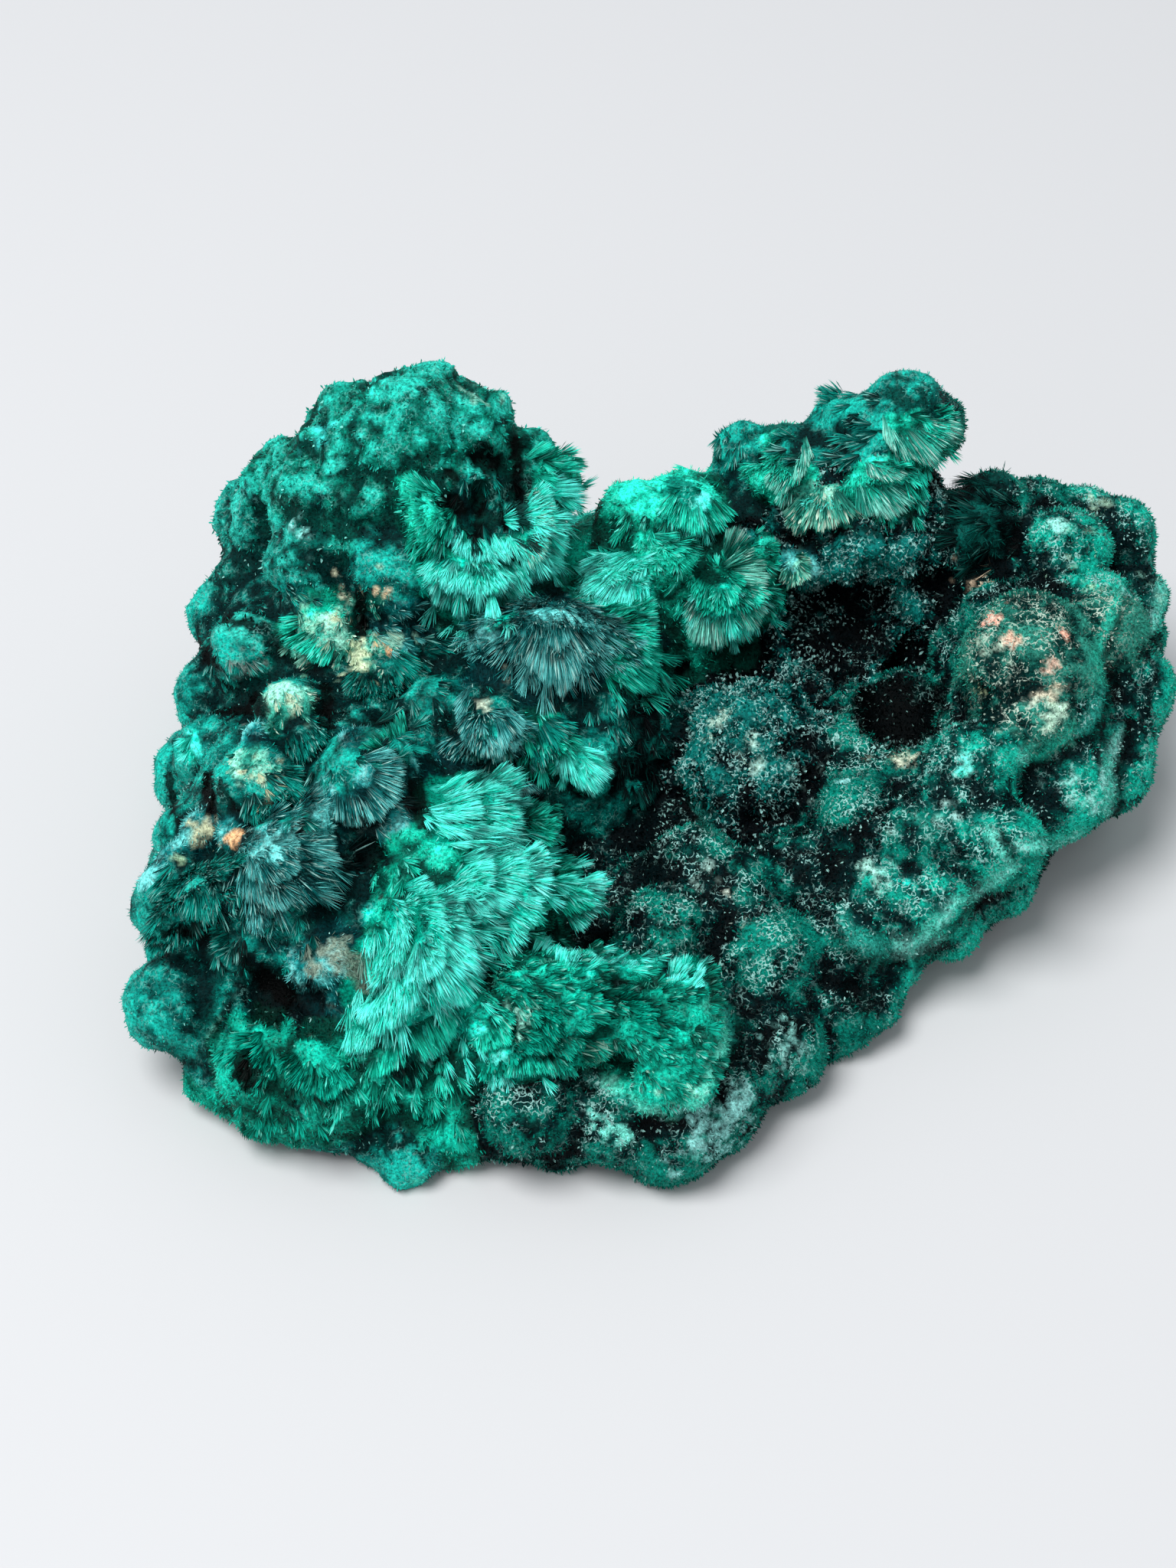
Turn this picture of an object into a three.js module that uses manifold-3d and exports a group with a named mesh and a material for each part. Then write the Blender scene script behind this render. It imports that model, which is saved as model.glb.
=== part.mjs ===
// Velvet malachite specimen: one natural piece, a botryoidal mass of radiating malachite needles.
// It rests on a flat cut at z = 0. +Z is up, +X is to the right and +Y to the back. Millimetres.
//
// Every growth has a nucleus, from which its needles run out to a common reach. Where they run out
// on all sides the growth is a ball, and where they fan out one way it is a spray.
import * as THREE from "three";
import { mergeVertices } from "three/addons/utils/BufferGeometryUtils.js";
import { ImprovedNoise } from "three/addons/math/ImprovedNoise.js";
import { SimplifyModifier } from "three/addons/modifiers/SimplifyModifier.js";
import Module from "manifold-3d";

// The growths are set out as they are seen from in front and above. A place is [across, up]
// or [across, up, height]: across and up lie in the picture plane through the middle of the
// specimen, square to the line of sight, and height is above the resting face. A place with no
// height lies where the line of sight meets the growths that are listed before it.
const VIEW_ELEVATION = THREE.MathUtils.degToRad(46);
const VIEW_DISTANCE = 184;
const MIDDLE_HEIGHT = 13;

// How rough the faceted surface is, as a share of a growth's reach.
const BALL_ROUGHNESS = 0.1;
const MASS_ROUGHNESS = 0.12;
const SPRAY_JAG = 0.1;
const NOISE_SCALE = 0.55;

// How deep a ball sits in what it grows on, as a share of its reach. How far a spray lifts its
// fringe, and how far the fringe may droop, as shares of its length, and how flat it is.
const BALL_SINK = 0.3;
const SPRAY_SINK = 0.6;
const SPRAY_LIFT = 0.3;
const SPRAY_DROOP = 0.45;
const SPRAY_FLATNESS = 0.6;

// How finely each growth is made before they are joined, how many corners the joined solid keeps
// in all, and how near two corners are welded.
const BALL_DETAIL = 2;
const BIG_BALL_DETAIL = 3;
const BIG_BALL_REACH = 3.3;
const MASS_DETAIL = 5;
const PIT_DETAIL = 2;
const SPRAY_FLUTES = 10;
const CORNERS = 4800;
const WELD = 0.02;

// The massive body under the growths: [x, y, z] of the middle and the half sizes.
const MASSES = [
  { middle: [-15, 1, 6], half: [12.5, 15, 10] },
  { middle: [-18, -11, 4], half: [9, 8.5, 6.5] },
  { middle: [-11, -15, 2], half: [9, 6, 5] },
  { middle: [-19, 15, 8], half: [8, 10, 8.5] },
  { middle: [-11.5, 19, 12], half: [10.5, 7.5, 13.5] },
  { middle: [-3, 11, 7], half: [9.5, 10.5, 10] },
  { middle: [4, 21, 8], half: [9, 7, 9.5] },
  { middle: [12, 24, 9], half: [6, 5, 10] },
  { middle: [-9, -8, 7], half: [7, 8.5, 8.5] },
  { middle: [-2, -15.5, 9], half: [7, 4, 3.2] },
  { middle: [1, -14, 2.5], half: [14, 6.5, 5] },
  { middle: [8, -3, 2], half: [15, 12, 5.5] },
  { middle: [12, 10, 3], half: [12, 11, 6.5] },
  { middle: [18, 22, 11], half: [8.5, 6, 12] },
  { middle: [26, 23, 9], half: [8, 6, 8.5] },
  { middle: [-2, 5, 1], half: [13, 14, 5] },
  { middle: [22, 6, 5], half: [10, 11.5, 7] },
  { middle: [31, 13, 9], half: [7.5, 10, 8] },
];

// Balls of velvet needles: the nucleus, and the reach of the needles.
const BALLS = [
  // Left flank
  { at: [-26.9, -14.3, 6], reach: 3.7 },
  { at: [-25.2, 6.2, 9], reach: 2.4 },
  { at: [-24.3, 11, 10], reach: 2.4 },
  { at: [-20.8, 17, 15], reach: 4.2 },
  { at: [-25, 2, 8], reach: 2.8 },
  { at: [-26, -3.4, 8], reach: 2.8 },
  { at: [-27, -8.2, 8], reach: 3.2 },
  // Left-hand peak
  { at: [-11.6, 23.2, 26], reach: 4.6 },
  { at: [-8.4, 22.7, 24.5], reach: 4.2 },
  { at: [-15, 22, 23.5], reach: 4.4 },
  { at: [-16.4, 19.2, 21], reach: 5.0 },
  { at: [-10.4, 19.2, 22], reach: 5.0 },
  { at: [-5.4, 20.7, 22], reach: 3.4 },
  { at: [-19.4, 19.2, 18], reach: 3.6 },
  { at: [-3, 19.4, 19.5], reach: 3.0 },
  { at: [-12.6, 13.8], reach: 3.4 },
  { at: [-18.2, 14.6], reach: 3.6 },
  { at: [-22.4, 13.6], reach: 2.6 },
  // Knobs with tan tips, and the domes round them
  { at: [-22.2, 8.4], reach: 3.2 },
  { at: [-17.2, 10.4], reach: 3.4 },
  { at: [-13.4, 8.7], reach: 3.8 },
  { at: [-19.3, 4.6], reach: 3.0 },
  { at: [-21.6, -0.1], reach: 3.2 },
  { at: [-14.5, 0.2], reach: 3.9 },
  { at: [-10, 4.6], reach: 2.8 },
  { at: [-6.4, 4.2], reach: 3.6 },
  { at: [-21.5, 3.1], reach: 1.5 },
  { at: [-22.9, -3.8], reach: 1.9 },
  { at: [-24.9, -3.1], reach: 1.8 },
  { at: [-26.9, -5.3], reach: 1.8 },
  { at: [-28.2, -6.5, 10.5], reach: 1.4 },
  { at: [-19.4, -8.6], reach: 3.2 },
  { at: [-16.9, -11.9], reach: 3.2 },
  { at: [-22.8, -11.4], reach: 2.6 },
  // Front left foot
  { at: [-20.9, -18.3, 5], reach: 4.0 },
  { at: [-17, -19.4, 5], reach: 4.0 },
  { at: [-13.2, -18], reach: 3.2 },
  { at: [-25.4, -19.6, 2], reach: 1.6 },
  { at: [-23.2, -20.4, 2], reach: 1.9 },
  { at: [-21.2, -21.6, 2], reach: 2.0 },
  { at: [-19, -22.4, 2], reach: 1.8 },
  { at: [-17, -22.8, 2], reach: 1.8 },
  { at: [-14.7, -23.4, 1.5], reach: 1.6 },
  { at: [-11.8, -24, 1.5], reach: 2.5 },
  { at: [-8.6, -22.8, 2], reach: 2.4 },
  // Front crust, under the tongue
  { at: [-5.2, -22, 2.5], reach: 2.9 },
  { at: [-3.7, -21.1, 5], reach: 3.4 },
  { at: [-1.6, -22.4, 2], reach: 3.0 },
  { at: [2, -21.5, 4], reach: 3.6 },
  { at: [5.3, -22, 3], reach: 4.2 },
  { at: [8, -20.8, 3], reach: 3.7 },
  { at: [12.8, -17.2, 3], reach: 3.1 },
  { at: [16.2, -14.3, 3], reach: 2.7 },
  // Dark velvet domes of the valley
  { at: [10.9, 1.7], reach: 5.6 },
  { at: [7, -5.7], reach: 3.6 },
  { at: [9.6, -7.8], reach: 3.8 },
  { at: [5.1, -10.3], reach: 4.0 },
  { at: [11.6, -11.8], reach: 4.0 },
  { at: [14, -6.1], reach: 3.7 },
  { at: [16.6, -10.4], reach: 3.4 },
  { at: [14.6, 7.2], reach: 4.2 },
  { at: [13.6, 14.2], reach: 1.4 },
  // Right-hand domes
  { at: [19.2, -7.5], reach: 4.1 },
  { at: [23.9, -2.8], reach: 4.0 },
  { at: [17.4, -2.4], reach: 3.2 },
  { at: [21, -3.4], reach: 2.8 },
  { at: [22.6, -7.6], reach: 2.9 },
  { at: [27, -4], reach: 3.2 },
  { at: [25, 0.9], reach: 3.6 },
  { at: [28.6, 4.2], reach: 3.6 },
  { at: [28.6, 7.9], reach: 5.0 },
  { at: [33.4, 9.6], reach: 3.4 },
  { at: [30.8, -0.2, 9], reach: 4.0 },
  { at: [33.8, 1, 8], reach: 3.6 },
  { at: [34.8, 6.2, 11], reach: 3.8 },
  { at: [31.2, 15.2, 16], reach: 3.4 },
  { at: [33.1, 11.2, 15], reach: 3.4 },
  { at: [34.6, 16, 14.5], reach: 3.2 },
  { at: [35.6, 12, 12.5], reach: 2.6 },
  { at: [29.5, 18, 16], reach: 2.6 },
  { at: [26.6, 18.2, 17], reach: 2.8 },
  // Ledge under the right-hand side
  { at: [20.2, -11.4, 3.5], reach: 2.2 },
  { at: [23.6, -9.4, 4], reach: 2.5 },
  { at: [27, -6.6, 4.5], reach: 2.6 },
  // Right-hand peak and the ridge to it
  { at: [20.6, 24, 23.5], reach: 3.3 },
  { at: [17.8, 23.2, 22.5], reach: 2.8 },
  { at: [22.6, 23.4, 21.5], reach: 2.6 },
  { at: [24.6, 16.2], reach: 3.2 },
  { at: [6.1, 17.6], reach: 3.4 },
  { at: [3.1, 17.4], reach: 2.9 },
];

// Domes on the back and low on the sides, out of that line of sight: [x, y, z] of the nucleus,
// and the reach.
const BACK_BALLS = [
  { middle: [-27, 10, 4], reach: 3.6 },
  { middle: [-26.5, 17, 4], reach: 3.4 },
  { middle: [-21, 24, 7], reach: 4.0 },
  { middle: [-14, 26.5, 11], reach: 4.5 },
  { middle: [-13, 25, 3], reach: 4.4 },
  { middle: [-6.5, 24.5, 13], reach: 4.0 },
  { middle: [-5, 22.5, 4], reach: 4.3 },
  { middle: [2.5, 27.5, 8], reach: 4.2 },
  { middle: [9, 28.5, 10], reach: 3.8 },
  { middle: [10, 27, 3], reach: 4.0 },
  { middle: [16, 27.5, 14], reach: 3.8 },
  { middle: [20.5, 27.5, 7], reach: 4.3 },
  { middle: [27.5, 27, 7], reach: 4.0 },
  { middle: [33, 21.5, 5], reach: 3.8 },
  { middle: [37, 15.5, 6], reach: 3.4 },
  { middle: [35.5, 9, 4], reach: 3.0 },
  { middle: [-27.5, 1.5, 3], reach: 3.0 },
  { middle: [-27, -5, 3], reach: 3.0 },
];

// Sprays: the nucleus, the middle of the fringe that the needles reach to, and the half angle
// in degrees over which they fan out.
const SPRAYS = [
  // Round the star-shaped pit of the left-hand peak
  { at: [-7.6, 16.6], toward: [-8.6, 11.4], spread: 50 },
  { at: [-6.2, 17.2], toward: [-1.6, 16.4], spread: 45 },
  { at: [-8.4, 18.2], toward: [-12.6, 17], spread: 45 },
  // Middle of the ridge
  { at: [-2.3, 12.5], toward: [-2.7, 6.6], spread: 42 },
  { at: [-0.6, 10.2], toward: [4.6, 8], spread: 45 },
  { at: [0.4, 14.4], toward: [2.6, 10.6], spread: 50 },
  { at: [3.6, 16.4], toward: [5.6, 12.6], spread: 45 },
  { at: [-6.9, 5], toward: [-5.9, 0.7], spread: 55 },
  { at: [-3.4, 4.7], toward: [-2.2, 0.7], spread: 35 },
  { at: [-1.2, 2.2], toward: [0.8, 0.4], spread: 38 },
  // Bright crest
  { at: [-10.2, -1.4], toward: [-3.9, -2.9], spread: 44 },
  { at: [-4.2, -2.2], toward: [-2, -4], spread: 42 },
  { at: [-8.6, -6.2], toward: [-2.2, -8.2], spread: 42 },
  { at: [-3.6, -6.1], toward: [1.3, -8.1], spread: 26 },
  { at: [-13.2, -8.2], toward: [-6.8, -11.8], spread: 48 },
  { at: [-12.9, -10.6], toward: [-10.4, -15.8], spread: 48 },
  // Tongue that hangs over the front crust
  { at: [-6.4, -12.6, 12.5], toward: [1.6, -15, 11], spread: 36 },
  { at: [0.2, -14.6, 11], toward: [8.9, -17.3, 9], spread: 38 },
  { at: [-6.4, -15.3, 10], toward: [-3.4, -18.6, 8.5], spread: 50 },
  { at: [5.1, -13.3, 10], toward: [7.1, -11.9, 10.5], spread: 42 },
  // Left-hand fans under the tan knobs
  { at: [-23.4, -3.6], toward: [-16.8, -6.2], spread: 42 },
  { at: [-26.4, -5.8], toward: [-23.7, -9.5], spread: 46 },
  // Right-hand peak
  { at: [8.9, 14], toward: [9.5, 9.5], spread: 62 },
  { at: [19.9, 24, 23.5], toward: [23.6, 21.2, 22.5], spread: 40 },
  { at: [18.1, 21.7, 22], toward: [19.1, 18.2, 21], spread: 45 },
  { at: [13.1, 22, 21], toward: [12.4, 18.4, 20], spread: 45 },
  { at: [15.6, 19.2, 20.5], toward: [15.6, 16.7, 19.5], spread: 55 },
  { at: [19, 24.4, 22.5], toward: [14.4, 24.3, 22], spread: 25 },
  { at: [10.4, 19.6, 17], toward: [10.3, 24, 21.5], spread: 30 },
];

// Hollows cut into the mass: the middle, and the half sizes in x, y and z.
const PITS = [
  { at: [16.6, 10.4], half: [4.6, 3.5, 4] },
  { at: [20.2, 5.6], half: [3.2, 4.5, 4.5] },
  { at: [-7.2, 17.6], half: [1.8, 2.4, 2.2] },
  { at: [-20.9, -13.8], half: [2, 2.2, 2.2] },
];

const noise = new ImprovedNoise();
const roughAt = (p) =>
  noise.noise(p.x * NOISE_SCALE, p.y * NOISE_SCALE, p.z * NOISE_SCALE);

const sin = Math.sin(VIEW_ELEVATION);
const cos = Math.cos(VIEW_ELEVATION);
const eye = new THREE.Vector3(0, -cos, sin).multiplyScalar(VIEW_DISTANCE);
eye.z += MIDDLE_HEIGHT;

// The masses and balls that are set out so far, for the next growths to sit on.
const lumps = [];

// The direction in which a place at [across, up] is seen.
function sight([across, up]) {
  return new THREE.Vector3(across, up * sin, up * cos + MIDDLE_HEIGHT).sub(eye).normalize();
}

// How far from the eye a line of sight meets a lump.
function nearSide({ middle, half }, direction) {
  const from = eye.clone().sub(middle).divide(half);
  const along = direction.clone().divide(half);
  const a = along.dot(along);
  const b = from.dot(along);
  const inside = b * b - a * (from.dot(from) - 1);
  return inside > 0 ? -(b + Math.sqrt(inside)) / a : Infinity;
}

// How far from the eye a place lies.
function depthOf(place) {
  const direction = sight(place);
  if (place.length > 2) return (place[2] - eye.z) / direction.z;
  const depth = Math.min(...lumps.map((lump) => nearSide(lump, direction)));
  if (depth === Infinity) throw new Error(`nothing to grow on at ${place}`);
  return depth;
}

const pointAt = (place, depth) => eye.clone().addScaledVector(sight(place), depth);

const wasm = await Module();
wasm.setup();

// A closed three.js geometry with its own points only, so that neighbouring faces share them.
function shared(geometry) {
  geometry.deleteAttribute("normal");
  geometry.deleteAttribute("uv");
  return mergeVertices(geometry, 1e-4);
}

// Moves each point of a geometry to where bend(point) says.
function reshaped(geometry, bend) {
  const position = geometry.getAttribute("position");
  const p = new THREE.Vector3();
  for (let i = 0; i < position.count; i++) {
    bend(p.fromBufferAttribute(position, i));
    position.setXYZ(i, p.x, p.y, p.z);
  }
  return geometry;
}

// The geometry as a solid that can be joined and cut.
function solidOf(geometry) {
  const corners = geometry.index.array;
  const triVerts = [];
  for (let i = 0; i < corners.length; i += 3) {
    const [a, b, c] = [corners[i], corners[i + 1], corners[i + 2]];
    if (a !== b && b !== c && c !== a) triVerts.push(a, b, c);
  }
  return new wasm.Manifold(
    new wasm.Mesh({
      numProp: 3,
      vertProperties: new Float32Array(geometry.getAttribute("position").array),
      triVerts: new Uint32Array(triVerts),
    }),
  );
}

function geometryOf(solid) {
  const { vertProperties, triVerts } = solid.getMesh();
  return new THREE.BufferGeometry()
    .setAttribute("position", new THREE.BufferAttribute(vertProperties, 3))
    .setIndex(new THREE.BufferAttribute(triVerts, 1));
}

// A rough ellipsoid.
function lump(middle, half, detail, roughness) {
  const geometry = shared(new THREE.IcosahedronGeometry(1, detail));
  return reshaped(geometry, (p) => {
    p.multiply(half).add(middle);
    p.lerp(middle, -roughness * roughAt(p));
  });
}

function mass({ middle, half }) {
  const place = new THREE.Vector3(...middle);
  const size = new THREE.Vector3(...half);
  lumps.push({ middle: place, half: size });
  return lump(place, size, MASS_DETAIL, MASS_ROUGHNESS);
}

function ballRound(middle, reach) {
  const detail = reach < BIG_BALL_REACH ? BALL_DETAIL : BIG_BALL_DETAIL;
  const size = new THREE.Vector3(reach, reach, reach);
  lumps.push({ middle, half: size });
  return lump(middle, size, detail, BALL_ROUGHNESS);
}

function ball({ at, reach }) {
  const sink = at.length > 2 ? 0 : BALL_SINK * reach;
  return ballRound(pointAt(at, depthOf(at) + sink), reach);
}

function pit({ at, half }) {
  const middle = pointAt(at, depthOf(at));
  return lump(middle, new THREE.Vector3(...half), PIT_DETAIL, 0);
}

// The nucleus of a spray and the middle of its fringe. On the mass, the fringe stands off it.
function spine({ at, toward }) {
  const depth = depthOf(at);
  if (at.length > 2) return [pointAt(at, depth), pointAt(toward, depthOf(toward))];
  const length = Math.hypot(toward[0] - at[0], toward[1] - at[1]);
  const fringe = Math.min(depthOf(toward), depth + SPRAY_DROOP * length) - SPRAY_LIFT * length;
  return [pointAt(at, depth + SPRAY_SINK), pointAt(toward, fringe)];
}

// The outline of half a fan, turned about its spine: out along its edge and back over its end.
function fanProfile(half, reach) {
  const side = [0.35, 0.7, 1].map((share) =>
    new THREE.Vector2(Math.sin(half), Math.cos(half)).multiplyScalar(share * reach),
  );
  const end = [0.66, 0.33].map((share) =>
    new THREE.Vector2(Math.sin(half * share), Math.cos(half * share)).multiplyScalar(reach),
  );
  return [new THREE.Vector2(0, -0.15 * reach), ...side, ...end, new THREE.Vector2(0, reach)];
}

// A fan of needles, as a flattened, fluted cone with a rounded, jagged end.
function spray(growth) {
  const [nucleus, fringe] = spine(growth);
  const axis = fringe.sub(nucleus);
  const reach = axis.length();
  axis.normalize();
  const side = axis.clone().cross(sight(growth.at)).normalize();
  const flat = side.clone().cross(axis);
  const turn = new THREE.Matrix4().makeBasis(side, axis, flat);
  const profile = fanProfile(THREE.MathUtils.degToRad(growth.spread), reach);
  const geometry = shared(new THREE.LatheGeometry(profile, 2 * SPRAY_FLUTES));
  return reshaped(geometry, (p) => {
    const flute = Math.cos(SPRAY_FLUTES * Math.atan2(p.x, p.z));
    const out = Math.hypot(p.x, p.z) / reach;
    p.multiplyScalar(1 + SPRAY_JAG * flute * out);
    p.z *= SPRAY_FLATNESS;
    p.applyMatrix4(turn).add(nucleus);
    p.lerp(nucleus, -SPRAY_JAG * roughAt(p));
  });
}

async function specimen() {
  const growths = [
    ...MASSES.map(mass),
    ...BALLS.map(ball),
    ...SPRAYS.map(spray),
    ...BACK_BALLS.map(({ middle, reach }) => ballRound(new THREE.Vector3(...middle), reach)),
  ];
  let solid = growths.map(solidOf).reduce((whole, growth) => whole.add(growth));
  for (const hollow of PITS) solid = solid.subtract(solidOf(pit(hollow)));

  const fine = geometryOf(solid);
  const surplus = fine.getAttribute("position").count - CORNERS;
  const faceted = await new SimplifyModifier().modify(fine, surplus);

  const deep = 40;
  const below = shared(new THREE.BoxGeometry(200, 200, deep).translate(0, 0, -deep / 2));
  const cut = solidOf(faceted).subtract(solidOf(below));
  return geometryOf(solidOf(mergeVertices(geometryOf(cut), WELD)));
}

const malachite = new THREE.Mesh(
  await specimen(),
  new THREE.MeshStandardMaterial({ color: 0x1f7f74, roughness: 0.7, metalness: 0 }),
);
malachite.name = "velvet_malachite";

const part = new THREE.Group();
part.add(malachite);
export default part;
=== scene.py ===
# Velvet malachite specimen: the body and the needles that cover it.
# +Z is up, +X is to the right and +Y to the back. Growths are worked out in millimetres and
# become metres as their meshes are made.
import math

import bmesh
import bpy
import numpy as np
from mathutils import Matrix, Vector
from mathutils.bvhtree import BVHTree


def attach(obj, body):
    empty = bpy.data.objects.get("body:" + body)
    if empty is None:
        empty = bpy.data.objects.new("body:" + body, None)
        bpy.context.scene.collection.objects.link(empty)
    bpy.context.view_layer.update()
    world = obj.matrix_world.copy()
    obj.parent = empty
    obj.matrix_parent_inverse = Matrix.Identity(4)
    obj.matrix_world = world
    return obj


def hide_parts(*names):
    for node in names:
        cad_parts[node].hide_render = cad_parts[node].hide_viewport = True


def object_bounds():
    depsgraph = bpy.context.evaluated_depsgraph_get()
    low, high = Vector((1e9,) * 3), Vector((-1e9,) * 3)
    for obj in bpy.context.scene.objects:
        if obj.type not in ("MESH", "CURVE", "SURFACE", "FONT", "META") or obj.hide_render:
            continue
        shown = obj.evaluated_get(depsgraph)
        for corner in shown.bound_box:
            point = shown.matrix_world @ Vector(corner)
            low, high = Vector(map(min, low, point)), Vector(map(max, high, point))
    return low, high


MM = 0.001
RNG = np.random.default_rng(7)

# The line of sight along which the growths are set out. A place is (across, up) or
# (across, up, height), as in the part's own source.
VIEW_ELEVATION = math.radians(46)
VIEW_DISTANCE = 184.0
MIDDLE_HEIGHT = 13.0

# How growths sit on each other, as shares of their reach or length.
BALL_SINK = 0.3
SPRAY_LIFT = 0.3
SPRAY_DROOP = 0.45
# How deep a spray's nucleus lies, in millimetres, and how thick a spray is for its width.
SPRAY_SINK = 0.6
SPRAY_FLATNESS = 0.6

# The body's fine surface, in millimetres: the size of its faces, and how far it lies below the
# tips of its needles.
VOXEL = 0.45
NAP = 0.2
# Steps that run the growths into each other, and steps to the smooth form that bumps stand out of.
FUSE_STEPS = 7
SMOOTH_STEPS = 50

# Knobs: how many are tried to a square millimetre, their reach in millimetres, and how deep they
# sit and how far apart they keep, as shares of their reach.
KNOBS = 0.3
KNOB_REACH = (1.0, 2.4)
KNOB_SINK = (0.5, 0.8)
KNOB_SPACING = 0.75
# How deep inside a growth a knob or a tip counts as buried, in millimetres.
BURIED = 0.3

# Noise: the size of its lumps in millimetres, and its seed.
SWELL_NOISE = (2.4, 60)
RELIEF_NOISE = (1.7, 70)
HOLLOW_NOISE = (1.6, 50)
FIELD_NOISE = (1.2, 9)
CROWN_NOISE = (1.2, 13)
TUFT_NOISE = (1.8, 15)
EDGE_NOISE = (1.4, 40)
CURL_NOISE = (0.6, 30)
CURL_CLUSTERS = (1.6, 31)
# Noise in several sizes: how strong it is, the size and the seed.
MOTTLE = ((0.6, 2.8, 80), (0.9, 1.1, 81), (1.0, 0.45, 82))
SPECKLE = ((0.45, 0.22, 44), (0.35, 0.6, 45))

# The most light that any colour gives back.
BRIGHTEST = 0.95

# The massive body under the growths: the middle, the half sizes and the look.
MASSES = [
    ((-15, 1, 6), (12.5, 15, 10), "teal"),
    ((-18, -11, 4), (9, 8.5, 6.5), "teal"),
    ((-11, -15, 2), (9, 6, 5), "green"),
    ((-19, 15, 8), (8, 10, 8.5), "teal"),
    ((-11.5, 19, 12), (10.5, 7.5, 13.5), "broken"),
    ((-3, 11, 7), (9.5, 10.5, 10), "teal"),
    ((4, 21, 8), (9, 7, 9.5), "green"),
    ((12, 24, 9), (6, 5, 10), "teal"),
    ((-9, -8, 7), (7, 8.5, 8.5), "green"),
    ((-2, -15.5, 9), (7, 4, 3.2), "tongue"),
    ((1, -14, 2.5), (14, 6.5, 5), "velvet"),
    ((8, -3, 2), (15, 12, 5.5), "velvet"),
    ((12, 10, 3), (12, 11, 6.5), "druse"),
    ((18, 22, 11), (8.5, 6, 12), "druse"),
    ((26, 23, 9), (8, 6, 8.5), "velvet"),
    ((-2, 5, 1), (13, 14, 5), "velvet"),
    ((22, 6, 5), (10, 11.5, 7), "velvet"),
    ((31, 13, 9), (7.5, 10, 8), "velvet"),
]

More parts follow.
